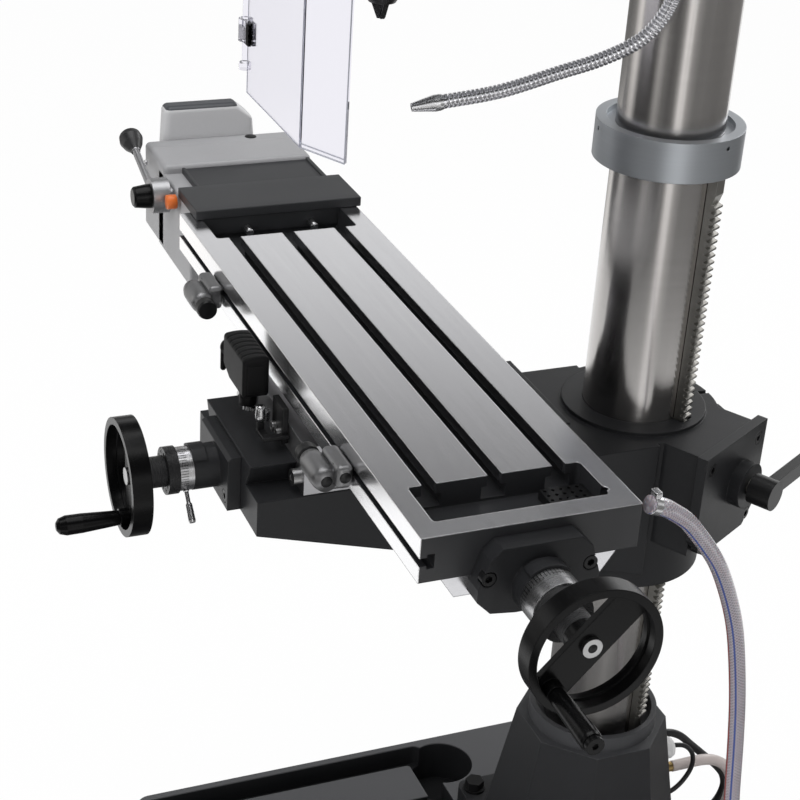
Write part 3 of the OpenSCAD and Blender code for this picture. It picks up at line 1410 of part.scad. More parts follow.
module guard() {
  color([0.85, 0.88, 0.92]) {
    block(guard_x + 9, guard_x + guard_w, guard_y - 1.5, guard_y + 1.5, guard_z, guard_z + guard_h);
    translate([guard_x + guard_w, guard_y - 1.5, 0]) rotate([0, 0, guard_turn])
      block(-0.7, wing_w, 0, 3, guard_z, guard_z + guard_h);
  }
}
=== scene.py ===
import math

import bpy
import numpy as np
from mathutils import Matrix, Vector


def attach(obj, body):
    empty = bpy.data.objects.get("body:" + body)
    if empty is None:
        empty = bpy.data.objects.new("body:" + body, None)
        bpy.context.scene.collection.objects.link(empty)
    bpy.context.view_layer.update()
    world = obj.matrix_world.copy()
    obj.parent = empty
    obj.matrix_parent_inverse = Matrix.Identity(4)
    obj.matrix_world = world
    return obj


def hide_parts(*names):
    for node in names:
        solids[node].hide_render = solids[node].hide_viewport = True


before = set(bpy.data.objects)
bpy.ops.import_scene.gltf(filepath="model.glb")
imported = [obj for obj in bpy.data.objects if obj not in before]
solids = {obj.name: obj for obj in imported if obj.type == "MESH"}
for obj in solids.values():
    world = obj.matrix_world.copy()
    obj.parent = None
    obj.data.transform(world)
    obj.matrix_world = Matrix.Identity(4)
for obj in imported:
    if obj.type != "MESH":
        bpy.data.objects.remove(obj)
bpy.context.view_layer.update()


# Camera: a long lens above the operator's right, looking down along the table. The picture is square,
# and the lens and the turn follow the photograph's own lines.
eye = (1.53983, -0.95184, 1.66046)
right = (0.370015, 0.927097, 0.059828)
down = (0.449927, -0.122484, -0.884626)
ahead = (-0.812807, 0.354243, -0.462447)
lens = bpy.data.cameras.new("photo_camera")
lens.sensor_width = 36.0
lens.lens = 81.833
lens.clip_start = 0.05
lens.clip_end = 60.0
camera = bpy.data.objects.new("photo_camera", lens)
bpy.context.scene.collection.objects.link(camera)
camera.matrix_world = Matrix([(right[k], -down[k], -ahead[k], eye[k]) for k in range(3)] + [(0, 0, 0, 1)])
bpy.context.scene.camera = camera
bpy.context.scene.view_settings.view_transform = "Standard"


# Studio: white floor and white surround, one broad lamp overhead, soft lamps round the object, and a
# ring of dark and pale boards that only the bright steel mirrors, as its dark and pale bands.
def piece(name, verts, faces, smooth=True):
    """A mesh object at the origin from an array of points and a list of faces."""
    mesh = bpy.data.meshes.new(name)
    mesh.from_pydata(np.asarray(verts, float).tolist(), [], [list(map(int, f)) for f in faces])
    mesh.validate()
    mesh.polygons.foreach_set("use_smooth", [smooth] * len(mesh.polygons))
    mesh.update()
    thing = bpy.data.objects.new(name, mesh)
    bpy.context.scene.collection.objects.link(thing)
    return thing


def feed(tree, socket, value):
    """Links a socket to another one, or sets its own value, with alpha 1 for a colour of three."""
    if isinstance(value, bpy.types.NodeSocket):
        tree.links.new(value, socket)
    else:
        socket.default_value = (*value, 1) if socket.type == "RGBA" else value


def wire(tree, node, **values):
    """Feeds a node's sockets by name, with _ for a space, or else sets its properties."""
    for key, value in values.items():
        socket = node.inputs.get(key.replace("_", " "))
        if socket is None:
            setattr(node, key, value)
        else:
            feed(tree, socket, value)
    return node


def wired(tree, kind, *first, **values):
    """A new shader node with the named values, and the others on its first sockets in order."""
    node = wire(tree, tree.nodes.new(kind), **values)
    for socket, value in zip(node.inputs, first):
        feed(tree, socket, value)
    return node


def maths(tree, operation, *values):
    """The result of one Math node."""
    return wired(tree, "ShaderNodeMath", *values, operation=operation).outputs[0]


def ramp(tree, value, from_low, from_high, to_low=0.0, to_high=1.0):
    """A value carried from one range to another, and held at its ends."""
    return wired(tree, "ShaderNodeMapRange", value, from_low, from_high, to_low, to_high).outputs[0]


def mixed(tree, share, below, above):
    """below + share * (above - below), for two numbers or two colours."""
    colours = any(isinstance(end, tuple) or getattr(end, "type", "") == "RGBA" for end in (below, above))
    node = wired(tree, "ShaderNodeMix", data_type="RGBA" if colours else "FLOAT")
    first = 6 if colours else 2
    for k, value in ((0, share), (first, below), (first + 1, above)):
        feed(tree, node.inputs[k], value)
    return node.outputs[2 if colours else 0]


def place_of(tree):
    """The place in the object's own frame, in metres."""
    return wired(tree, "ShaderNodeTexCoord").outputs["Object"]


def finish_of(name, colour, rough, metal=0.0, **more):
    """A material and its shader with the plain values set on the shader's own sockets."""
    mat = bpy.data.materials.new(name)
    mat.use_nodes = True
    shader = mat.node_tree.nodes["Principled BSDF"]
    wire(mat.node_tree, shader, Base_Color=colour, Roughness=rough, Metallic=metal, **more)
    return mat, shader


floor_half, floor_z = 9, -0.0004
floor = piece("studio_floor", [(x * floor_half, y * floor_half, floor_z)
                               for x, y in ((-1, -1), (1, -1), (1, 1), (-1, 1))], [(0, 1, 2, 3)])
floor_mat, floor_shader = finish_of("studio_floor", (0.86, 0.86, 0.86), 0.9)
# Seen, mirrored or through the guard the floor glows white. Its mirror image in the column is darker
# within 1 m of the foot, as if the base shaded it.
glow_share = 0.97
tree = floor_mat.node_tree
ray = wired(tree, "ShaderNodeLightPath").outputs
seen = maths(tree, "MAXIMUM", ray["Is Camera Ray"], ray["Is Transmission Ray"])
seen = maths(tree, "MULTIPLY", maths(tree, "MAXIMUM", seen, ray["Is Glossy Ray"]), glow_share)
reach = wired(tree, "ShaderNodeVectorMath", place_of(tree), operation="LENGTH").outputs["Value"]
mirrored = mixed(tree, ray["Is Glossy Ray"], 1.0, ramp(tree, reach, 0.9, 1.15, 0.16, 1.15))
glow = wired(tree, "ShaderNodeEmission", Strength=mirrored)
shown = wired(tree, "ShaderNodeMixShader", seen, floor_shader.outputs[0], glow.outputs[0])
tree.links.new(shown.outputs[0], tree.nodes["Material Output"].inputs["Surface"])
floor.data.materials.append(floor_mat)

world = bpy.data.worlds.new("studio")
world.use_nodes = True
bpy.context.scene.world = world
# The camera sees a white surround. Bright steel mirrors it bright low down and dark above 30 degrees.
diffuse_sky = 0.42
tree = world.node_tree
ray = wired(tree, "ShaderNodeLightPath").outputs
ahead_way = wired(tree, "ShaderNodeTexCoord").outputs["Generated"]
height = wired(tree, "ShaderNodeSeparateXYZ", ahead_way).outputs[2]
mirrored = mixed(tree, ray["Is Glossy Ray"], diffuse_sky, ramp(tree, height, 0.385, 0.505, 1.2, 0.04))
seen = maths(tree, "MAXIMUM", ray["Is Camera Ray"], ray["Is Transmission Ray"])
wire(tree, tree.nodes["Background"], Color=(1, 1, 1), Strength=mixed(tree, seen, mirrored, 1.0))


def lamp(name, place, aim, width, tall, power):
    """An area lamp at place that points at aim."""
    light = bpy.data.lights.new(name, "AREA")
    light.shape = "RECTANGLE"
    light.size = width
    light.size_y = tall
    light.energy = power
    lamp_object = bpy.data.objects.new(name, light)
    bpy.context.scene.collection.objects.link(lamp_object)
    lamp_object.location = place
    lamp_object.rotation_euler = (Vector(aim) - Vector(place)).to_track_quat("-Z", "Y").to_euler()
    return lamp_object


lamp("overhead", (-0.2, -0.4, 3.6), (-0.1, -0.3, 0.8), 2.6, 2.6, 62)
lamp("left_soft", (0.6, -3.0, 2.4), (0, -0.3, 0.8), 1.4, 1.6, 38).visible_glossy = False
lamp("right_strip", (2.55, -0.72, 0.75), (0, 0, 0.9), 0.16, 1.7, 9)
lamp("back_soft", (-1.4, 2.6, 2.3), (0, 0, 0.9), 1.6, 1.4, 30)

# The boards' tones as (turn from the camera's own side in degrees, tone low down, tone higher up).
board_tones = np.array([
    (-170, 0.40, 0.24), (-152, 0.80, 0.20), (-137, 1.20, 0.18), (-119, 1.20, 0.24), (-112, 0.50, 0.40),
    (-104, 0.12, 0.95), (-97, 0.06, 1.45), (-92, 0.04, 1.30), (-80, 0.02, 0.08), (-63, 0.01, 0.08),
    (-48, 0.03, 0.10), (-36, 0.07, 0.85), (-24, 0.12, 0.28), (-10, 0.12, 0.10), (0, 0.18, 0.20),
    (6, 0.33, 0.60), (12, 0.70, 1.18), (17, 0.97, 0.95), (24, 0.62, 0.50), (30, 0.42, 0.34),
    (43, 0.19, 0.20), (60, 0.20, 0.23), (76, 0.21, 0.20), (92, 0.17, 0.21), (112, 0.14, 0.27),
    (137, 0.12, 0.27), (150, 0.2, 0.3)])
turns = board_tones[:, 0]
camera_turn = -31.7
board_r = 1.72
behind_turn, behind_foot = -88, 0.26
columns = 161
angle = np.linspace(turns[0], turns[-1], columns)
spots, tones = [], []
for height, column in ((0.03, 1), (0.40, 1), (0.62, 2), (1.22, 2)):
    at = np.radians(angle + camera_turn)
    edge = np.where(angle < behind_turn, np.maximum(height, behind_foot), height)
    spots.append(np.stack([board_r * np.cos(at), board_r * np.sin(at), edge], 1))
    tones.append(np.interp(angle, turns, board_tones[:, column]))
boards = piece("dark_boards", np.vstack(spots),
               [(r * columns + i, r * columns + i + 1, (r + 1) * columns + i + 1, (r + 1) * columns + i)
                for r in range(3) for i in range(columns - 1)])
tone_layer = boards.data.attributes.new("tone", "FLOAT", "POINT")
tone_layer.data.foreach_set("value", np.concatenate(tones).astype(np.float32))
board_mat, board_shader = finish_of("dark_boards", (0.0, 0.0, 0.0), 1.0, Emission_Color=(1, 0.985, 0.965))
tree = board_mat.node_tree
tone = wired(tree, "ShaderNodeAttribute", attribute_name="tone").outputs["Fac"]
wire(tree, board_shader, Emission_Strength=tone)
boards.data.materials.append(board_mat)
for seen_by in ("visible_camera", "visible_shadow", "visible_diffuse", "visible_transmission"):
    setattr(boards, seen_by, False)


# Drain hose: clear braided vinyl tube with a red and a blue stripe. It is pushed on the brass barb at
# the table's back edge, held by a worm clamp, and falls to the elbow at the back of the base.
def runs_of(line):
    """The length of the line up to each of its points."""
    return np.concatenate([[0], np.cumsum(np.linalg.norm(np.diff(line, axis=0), axis=1))])


def flow(points, count):
    """Catmull-Rom curve through the points, cut into count equal steps along its length:
    p(t) = (2 b + (c - a) t + (2 a - 5 b + 4 c - d) t^2 + (3 b - a - 3 c + d) t^3) / 2."""
    cuts = 12
    p = np.asarray(points, float)
    p = np.vstack([2 * p[0] - p[1], p, 2 * p[-1] - p[-2]])
    t = np.linspace(0, 1, cuts, endpoint=False)[:, None]
    curve = []
    for a, b, c, d in zip(p[:-3], p[1:-2], p[2:-1], p[3:]):
        square, cube = 2 * a - 5 * b + 4 * c - d, 3 * b - a - 3 * c + d
        curve.append(0.5 * (2 * b + (c - a) * t + square * t ** 2 + cube * t ** 3))
    curve = np.vstack(curve + [p[-2:-1]])
    s = runs_of(curve)
    even = np.linspace(0, s[-1], count + 1)
    return np.stack([np.interp(even, s, curve[:, k]) for k in range(3)], 1)


def tube(name, line, radius, sides, seed=(1, 0, 0), smooth=True):
    """Rings p + radius * (cos(turn) * a + sin(turn) * b) about a line, with a and b square to it and
    carried along without twisting; its UV is turns round and metres along."""
    line = np.asarray(line, float)
    n = len(line)
    tangents = np.gradient(line, axis=0)
    tangents /= np.linalg.norm(tangents, axis=1)[:, None]
    side = np.cross(tangents[0], seed)
    carried = []
    for tangent in tangents:
        side = side - np.dot(side, tangent) * tangent
        side /= np.linalg.norm(side)
        carried.append(side)
    side = np.array(carried)
    other = np.cross(tangents, side)
    turn = np.linspace(0, 2 * np.pi, sides, endpoint=False)
    r = np.broadcast_to(np.asarray(radius, float), (n,))[:, None, None]
    rings = line[:, None] + r * (np.cos(turn)[None, :, None] * side[:, None]
                                 + np.sin(turn)[None, :, None] * other[:, None])
    i, k = np.meshgrid(np.arange(n - 1), np.arange(sides), indexing="ij")
    k2 = (k + 1) % sides
    faces = np.stack([i * sides + k, i * sides + k2, (i + 1) * sides + k2, (i + 1) * sides + k], -1)
    run = runs_of(line)
    uv = np.stack([np.stack([k, k + 1, k + 1, k], -1) / sides, run[np.stack([i, i, i + 1, i + 1], -1)]], -1)
    caps = [list(range(sides))[::-1], [(n - 1) * sides + j for j in range(sides)]]
    thing = piece(name, rings.reshape(-1, 3), faces.reshape(-1, 4).tolist() + caps, smooth)
    layer = thing.data.uv_layers.new(name="along")
    flat = np.zeros((len(thing.data.loops), 2), np.float32)
    flat[:uv.size // 2] = uv.reshape(-1, 2)
    layer.data.foreach_set("uv", flat.ravel())
    return thing


def fixed(thing, mat, body, replaced=None):
    """Gives a piece its material and its body, and hides the node that it stands for."""
    thing.data.materials.append(mat)
    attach(thing, body)
    if replaced:
        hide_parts(replaced)
    return thing


def hung(cord, mat, replaced):
    fixed(cord, mat, "stand", replaced)


def noise(tree, place, scale, detail, roughness=0.5):
    """Cloud noise from 0 to 1: scale clouds to the metre, and finer ones laid over them detail times."""
    return wired(tree, "ShaderNodeTexNoise", Vector=place, Scale=scale, Detail=detail,
                 Roughness=roughness).outputs["Fac"]


def stripe(tree, value, centre, half, soft):
    """1 within half of centre and 0 beyond, over a soft edge."""
    away = maths(tree, "ABSOLUTE", maths(tree, "SUBTRACT", value, centre))
    return ramp(tree, away, half, half + soft, 1.0, 0.0)


def vinyl(name, colour, rough, pitch, lead, bump, depth, **more):
    """Vinyl over threads that wind both ways: w = |along / pitch +- lead * turn| folded to 0..0.5, and a
    thread is where w passes 0.3. Gives the material, its shader, the turn and the threads' mask."""
    mat, shader = finish_of(name, colour, rough, **more)
    tree = mat.node_tree
    uv = wired(tree, "ShaderNodeUVMap", uv_map="along").outputs[0]
    turn, along = wired(tree, "ShaderNodeSeparateXYZ", uv).outputs[:2]
    masks = []
    for sign in (1, -1):
        slope = maths(tree, "MULTIPLY_ADD", along, 1 / pitch, maths(tree, "MULTIPLY", turn, sign * lead))
        masks.append(ramp(tree, maths(tree, "PINGPONG", slope, 0.5), 0.30, 0.44))
    threads = maths(tree, "MAXIMUM", *masks)
    relief = wired(tree, "ShaderNodeBump", Strength=bump, Distance=depth, Height=threads)
    wire(tree, shader, Normal=relief.outputs[0])
    return mat, shader, turn, threads


mm = 0.001
hose_r = 8.5 * mm
fitting_lean = math.radians(20)
drain_way = np.array([0, math.cos(fitting_lean), -math.sin(fitting_lean)])
drain_start = np.array([345, -209.25, 851]) + 28.1 * drain_way
drain_points = [tuple(drain_start), tuple(drain_start + 17 * drain_way), (338, -150, 823), (331, -130, 806),
                (323, -105, 777), (315, -79, 742), (308, -58, 704), (303, -40, 662), (299, -27, 620),
                (294, -12, 556), (290, -1, 493), (286, 11, 407), (282, 21, 370), (274, 34, 335),
                (260, 54, 300), (243, 76, 268), (227, 98, 238), (213, 118, 205), (204, 131, 172),
                (200, 138, 137), (200, 138, 120.1)]
drain_line = flow(np.array(drain_points) * mm, 260)
drain = tube("drain_hose_skin", drain_line, hose_r, 28)
hose_mat, hose_shader, turn, threads = vinyl(
    "clear_braided_vinyl", (0.72, 0.66, 0.70), 0.22, 0.0042, 12, 0.35, 0.0004,
    Coat_Weight=0.5, Subsurface_Weight=0.15, Subsurface_Scale=0.004)
tree = hose_mat.node_tree
wall = mixed(tree, noise(tree, place_of(tree), 60.0, 3.0), (0.20, 0.175, 0.20), (0.34, 0.305, 0.34))
wall = mixed(tree, threads, wall, (0.46, 0.43, 0.47))
wall = mixed(tree, stripe(tree, turn, 0.895, 0.014, 0.008), wall, (0.055, 0.09, 0.30))
wall = mixed(tree, stripe(tree, turn, 0.045, 0.022, 0.01), wall, (0.36, 0.09, 0.08))
wire(tree, hose_shader, Base_Color=wall)
hung(drain, hose_mat, "drain_hose")


# Supply hose: pale vinyl tube with a thread braid in its wall. It is pushed on the pump's outlet barb on
# the foot, loops down behind it, and ends on the barb at the back of the base.
def foot_at(z):
    """Half the foot's width at a height, mm: 82.8 at its top and wider by tan 9.5 degrees downwards."""
    return 82.8 + (317 - z) * math.tan(math.radians(9.5))


supply_r = 7 * mm
supply_points = [(4, foot_at(206) + 24.1, 206), (4, foot_at(206) + 38, 206), (4, 164, 206), (4, 179, 204),
                 (4, 192.5, 198.5), (4, 204.5, 189.5), (4, 213.5, 177.5), (4, 219, 164), (4, 221, 145),
                 (4, 219, 126), (4, 213.5, 112.5), (4, 204.5, 100.5), (4, 192.5, 91.5), (4, 179, 86),
                 (4, 164, 84), (4, 152, 84), (4, 142.1, 84)]
supply_line = flow(np.array(supply_points) * mm, 110)
supply = tube("supply_hose_skin", supply_line, supply_r, 24)
supply_mat, supply_shader, turn, threads = vinyl(
    "pale_vinyl", (0.60, 0.52, 0.50), 0.3, 0.0036, 10, 0.3, 0.0003, Coat_Weight=0.3)
tree = supply_mat.node_tree
wire(tree, supply_shader, Base_Color=mixed(tree, threads, (0.55, 0.47, 0.45), (0.66, 0.60, 0.58)))
hung(supply, supply_mat, "supply_hose")


# Two cables in black sheaths: the thin one loops from the white gland back into the foot, and the thick
# one runs from a black gland on the foot to the gland of the base.
cable_mat, cable_shader = finish_of("black_sheath", (0.012, 0.012, 0.013), 0.42)
tree = cable_mat.node_tree
dust = noise(tree, place_of(tree), 420.0, 4.0)
relief = wired(tree, "ShaderNodeBump", Strength=0.2, Distance=0.0002, Height=dust)
wire(tree, cable_shader, Base_Color=mixed(tree, dust, (0.008, 0.008, 0.009), (0.022, 0.022, 0.024)),
     Normal=relief.outputs[0])
thin_points = [(20, foot_at(254) + 17.1, 254), (20, foot_at(254) + 23, 254), (20, 127, 251), (20, 136, 244),
               (20, 142.5, 234), (20, 145, 222), (20, 143.5, 210), (20, 138.5, 199), (20, 131, 189),
               (20, 121.5, 181.5), (20, foot_at(178) + 4, 178), (20, foot_at(178) - 4, 178),
               (20, foot_at(178) - 15.9, 178)]
thick_points = [(-22, foot_at(240) + 17.1, 240), (-22, foot_at(240) + 26, 240), (-22, 136, 237),
                (-22, 151, 228), (-22, 168, 211), (-22, 185, 194), (-22, 201, 178), (-22, 216, 162),
                (-22, 226, 147), (-22, 230, 130), (-22, 226, 112), (-22, 216, 97.5), (-22, 202, 87.5),
                (-22, 184, 84), (-22, 147, 84), (-22, 135.1, 84)]
for name, points, radius in (("thin_cable", thin_points, 3 * mm), ("thick_cable", thick_points, 5 * mm)):
    cable_line = flow(np.array(points) * mm, 90)
    cable = tube(name, cable_line, radius, 16)
    hung(cable, cable_mat, "power_cable")


# Coolant gooseneck: steel strip wound into a flexible hose that stays where it is bent, held in a
# socket under the head, with a turned nozzle on its tip.
neck_points = np.array([(35.5, -273.6, 1119), (45, -218, 1129), (55, -163, 1147), (63, -125, 1160),
                        (72, -92, 1178), (78, -74, 1200), (83, -65, 1226), (87, -61, 1262), (88, -60, 1288),
                        (88, -60, 1302)]) * mm
neck_pitch = 4.4 * mm
neck_r = 7 * mm
neck_sides = 28
neck_line = flow(neck_points, 9 * int(runs_of(flow(neck_points, 80))[-1] / neck_pitch))
neck = tube("gooseneck_strip", neck_line, neck_r, neck_sides)
# Past lap_from of each turn the radius dips by lap_deep * sin(pi * lap) ^ lap_round, and the rest of the
# turn is hollowed by crown * (phase / lap_from - 0.5) ^ 2. Both fade out within end_plain of the ends.
lap_from, lap_deep, lap_round, crown, end_plain = 0.72, 1.5 * mm, 0.7, 0.5 * mm, 4 * mm
at = np.array([v.co[:] for v in neck.data.vertices]).reshape(len(neck_line), neck_sides, 3)
run = runs_of(neck_line)
phase = (run[:, None] / neck_pitch + np.arange(neck_sides)[None] / neck_sides) % 1
lap = np.clip((phase - lap_from) / (1 - lap_from), 0, 1)
groove = (np.sin(np.pi * lap) ** lap_round * lap_deep
          + (phase < lap_from) * (phase / lap_from - 0.5) ** 2 * crown)
ends = np.clip(np.minimum(run, run[-1] - run) / end_plain, 0, 1)[:, None]
shrink = 1 - groove * ends / neck_r
at = neck_line[:, None] + (at - neck_line[:, None]) * shrink[..., None]
neck.data.vertices.foreach_set("co", at.reshape(-1).astype(np.float32))
neck.data.update()
neck_mat, neck_shader = finish_of("nickel_strip", (0.62, 0.62, 0.64), 0.2, 1.0)
tree = neck_mat.node_tree
dust = noise(tree, place_of(tree), 300.0, 3.0)
wire(tree, neck_shader, Roughness=ramp(tree, dust, 0.0, 1.0, 0.14, 0.32),
     Base_Color=mixed(tree, dust, (0.52, 0.52, 0.55), (0.70, 0.70, 0.72)))
fixed(neck, neck_mat, "stand", "gooseneck")


# Castings: grey iron, filled, and sprayed in a dark grey that keeps a fine orange peel. The table arm,
# its gear cover and both screw brackets have it, and the base and the foot a paint much like it.
def group_of(name, **inputs):
    """A node group of a vector, and of named colours and numbers, that gives a colour, a roughness and a
    height; with its two end nodes."""
    group = bpy.data.node_groups.new(name, "ShaderNodeTree")
    group.interface.new_socket("Vector", in_out="INPUT", socket_type="NodeSocketVector")
    for key, value in inputs.items():
        kind = "NodeSocketColor" if isinstance(value, tuple) else "NodeSocketFloat"
        socket = group.interface.new_socket(key.replace("_", " "), in_out="INPUT", socket_type=kind)
        socket.default_value = (*value, 1) if isinstance(value, tuple) else value
    for key, kind in (("Colour", "Color"), ("Roughness", "Float"), ("Height", "Float")):
        group.interface.new_socket(key, in_out="OUTPUT", socket_type="NodeSocket" + kind)
    return group, group.nodes.new("NodeGroupInput").outputs, group.nodes.new("NodeGroupOutput")


paint_skin, given, result = group_of("paint_skin", Deep=(0.03, 0.03, 0.032), Light=(0.05, 0.05, 0.054),
                                     Peel_Scale=620.0, Smooth=0.34, Rough=0.5)
cloud = noise(paint_skin, given["Vector"], 9.0, 5.0, 0.6)
speck = noise(paint_skin, given["Vector"], 260.0, 2.0)
peel = noise(paint_skin, given["Vector"], given["Peel Scale"], 2.0)
low_wave = noise(paint_skin, given["Vector"], 46.0, 2.0)
mottle = maths(paint_skin, "MULTIPLY_ADD", speck, 0.25, cloud)
wire(paint_skin, result, Colour=mixed(paint_skin, mottle, given["Deep"], given["Light"]),
     Roughness=ramp(paint_skin, cloud, 0.0, 1.0, given["Smooth"], given["Rough"]),
     Height=maths(paint_skin, "ADD", peel, low_wave))


def surfaced(tree, shader, skin, bump, depth, edge):
    """Joins a skin group to a shader, with its height as relief over a rounded edge."""
    relief = wired(tree, "ShaderNodeBump", Strength=bump, Distance=depth, Height=skin.outputs["Height"])
    if edge:
        wire(tree, relief, Normal=wired(tree, "ShaderNodeBevel", Radius=edge, samples=4).outputs[0])
    wire(tree, shader, Base_Color=skin.outputs["Colour"], Roughness=skin.outputs["Roughness"],
         Normal=relief.outputs[0])


def painted(name, deep, light, smooth=0.34, rough=0.5, peel=620.0, bump=0.16, edge=0.0012, shine=0.5):
    """Sprayed paint: mottled tone, peel in the bump, and a rounded edge."""
    mat, shader = finish_of(name, deep, rough, Specular_IOR_Level=shine)
    tree = mat.node_tree
    skin = wired(tree, "ShaderNodeGroup", node_tree=paint_skin, Vector=place_of(tree), Deep=deep, Light=light,
                 Peel_Scale=peel, Smooth=smooth, Rough=rough)
    surfaced(tree, shader, skin, bump, 0.0006, edge)
    return mat


def beyond(tree, value, limit, less=False):
    """1 where a value is past a limit, else 0."""
    return maths(tree, "LESS_THAN" if less else "GREATER_THAN", value, limit)


def joined(tree, operation, *masks):
    """Masks taken together, MULTIPLY for all of them and MAXIMUM for any."""
    value = masks[0]
    for mask in masks[1:]:
        value = maths(tree, operation, value, mask)
    return value


def patched(mat, *boxes):
    """Colours laid over a finished material inside boxes of (low corner, high corner, colour), with None
    for an open side. On bare metal a box is paint: metallic = the product of 1 - inside."""
    tree = mat.node_tree
    shader = tree.nodes["Principled BSDF"]
    spot = wired(tree, "ShaderNodeSeparateXYZ", place_of(tree)).outputs
    bare = shader.inputs["Metallic"].default_value
    for low, high, colour in boxes:
        tests = [beyond(tree, spot[k], low[k]) for k in range(3) if low[k] is not None]
        tests += [beyond(tree, spot[k], high[k], True) for k in range(3) if high[k] is not None]
        inside = joined(tree, "MULTIPLY", *tests)
        below = shader.inputs["Base Color"].links[0].from_socket
        wire(tree, shader, Base_Color=mixed(tree, inside, below, colour))
        if bare:
            bare = maths(tree, "MULTIPLY", bare, maths(tree, "SUBTRACT", 1.0, inside))
            wire(tree, shader, Metallic=bare)
    return mat


def dress(mat, *names):
    """Puts a material on every slot of these CAD nodes."""
    for name in names:
        for held in solids[name].material_slots:
            held.material = mat


base_top, foot_ring = 0.1185, 0.3165
cast_deep, cast_light = (0.011, 0.0114, 0.0125), (0.019, 0.0194, 0.0212)
dress(painted("cast_paint", cast_deep, cast_light, edge=0.002, shine=0.24),
      "table_arm", "arm_cover", "y_bracket", "x_bracket")
dress(patched(painted("base_paint", cast_deep, cast_light, edge=0.002, shine=0.3),
              ((None, None, base_top), (None, None, None), (0.09, 0.091, 0.096))), "base")
# The top of the foot's ring, above foot_ring, is painted lighter: a painted highlight of the light from
# above.
dress(patched(painted("foot_paint_lit_top", (0.016, 0.0165, 0.018), (0.026, 0.0265, 0.029), edge=0.002, shine=0.3),
              ((None, None, foot_ring), (None, None, None), (0.060, 0.061, 0.065))), "pedestal")


# Column: thick-walled tube, turned and ground. The fine rings of the grinding run round it. The quill
# has the same surface, and the two screws a coarser one.
ground_lines, given, result = group_of("ground_lines", Deep=(0.3, 0.3, 0.3), Light=(0.5, 0.5, 0.5),
                                       Smooth=0.2, Rough=0.36)
line = noise(ground_lines, given["Vector"], 1.0, 4.0, 0.7)
wide = maths(ground_lines, "MULTIPLY", noise(ground_lines, given["Vector"], 0.12, 3.0), 0.5)
both = maths(ground_lines, "MULTIPLY_ADD", line, 0.5, wide)
wire(ground_lines, result, Colour=mixed(ground_lines, both, given["Deep"], given["Light"]),
     Roughness=ramp(ground_lines, line, 0.0, 1.0, given["Smooth"], given["Rough"]), Height=line)


def squeezed(tree, stretch, **values):
    """The tool lines of a surface: noise squeezed by the stretch along each axis, in lines a metre."""
    squeeze = wired(tree, "ShaderNodeMapping", Vector=place_of(tree), Scale=stretch)
    return wired(tree, "ShaderNodeGroup", node_tree=ground_lines, Vector=squeeze.outputs[0], **values)


def machined(name, deep, light, stretch, smooth=0.2, rough=0.36, bump=0.05, edge=0.0006):
    """Bare metal with tool lines and a rounded edge."""
    mat, shader = finish_of(name, light, rough, 1.0)
    lines = squeezed(mat.node_tree, stretch, Deep=deep, Light=light, Smooth=smooth, Rough=rough)
    surfaced(mat.node_tree, shader, lines, bump, 0.0002, edge)
    return mat


column_mat = machined("ground_column", (0.43, 0.415, 0.405), (0.52, 0.505, 0.495), (4, 4, 1100), 0.17, 0.25,
                      0.02)
tree = column_mat.node_tree
round_way = wired(tree, "ShaderNodeTangent", direction_type="RADIAL", axis="Z")
wire(tree, tree.nodes["Principled BSDF"], Tangent=round_way.outputs[0], Anisotropic=0.75,
     Anisotropic_Rotation=0.25)
dress(column_mat, "column", "quill")
dress(machined("turned_screws", (0.36, 0.36, 0.36), (0.6, 0.6, 0.6), (900, 900, 900), 0.22, 0.38),
      "y_screw", "x_screw", "lead_nuts", "saddle_screws")


# Rack: milled steel bar with straight teeth. It stands loose in the foot's ring and the collar, so it
# swings with the arm. The pinion and the worm inside the arm are of the same steel.
dress(machined("milled_rack", (0.20, 0.195, 0.18), (0.34, 0.33, 0.31), (300, 300, 700), 0.32, 0.5, 0.15),
      "rack", "lift_pinion", "lift_worm")


# Collar: turned ring over the rack's top, held on the column by three grub screws and finished with a
# satin silver lacquer.
dress(machined("satin_collar", (0.34, 0.36, 0.385), (0.43, 0.45, 0.475), (18, 18, 1900), 0.38, 0.5, 0.04,
               0.001), "rack_collar")


# Table: grey iron casting, its top, front, ways and slot walls ground bright, its ends, pockets and slot
# bottoms left dark. Its front is painted lighter than the top, a painted reflection of the bright floor.
# The saddle under it is milled.
top_at, front_at, ways_at = 0.8645, -0.4172, 0.8209
slots_floor, slots_mid, slots_half, slots_from, slots_to = 0.8532, -0.3135, 0.0715, -0.272, 0.2905
table_mat, table_shader = finish_of("ground_table", (0.6, 0.6, 0.62), 0.35, 1.0)
tree = table_mat.node_tree
lines = squeezed(tree, (60, 1400, 1400), Deep=(0.60, 0.60, 0.62), Light=(0.74, 0.74, 0.76), Smooth=0.17,
                 Rough=0.27)
skin = wired(tree, "ShaderNodeGroup", node_tree=paint_skin, Vector=place_of(tree),
             Deep=(0.013, 0.0135, 0.015), Light=(0.022, 0.0225, 0.025))
x_here, y_here, z_here = wired(tree, "ShaderNodeSeparateXYZ", place_of(tree)).outputs
front = beyond(tree, y_here, front_at, True)
slot_wall = joined(tree, "MULTIPLY", beyond(tree, z_here, slots_floor),
                   stripe(tree, y_here, slots_mid, slots_half, 0.0001),
                   beyond(tree, x_here, slots_to, True), beyond(tree, x_here, slots_from))
bright = joined(tree, "MAXIMUM", beyond(tree, z_here, top_at), front, slot_wall,
                beyond(tree, z_here, ways_at, True))
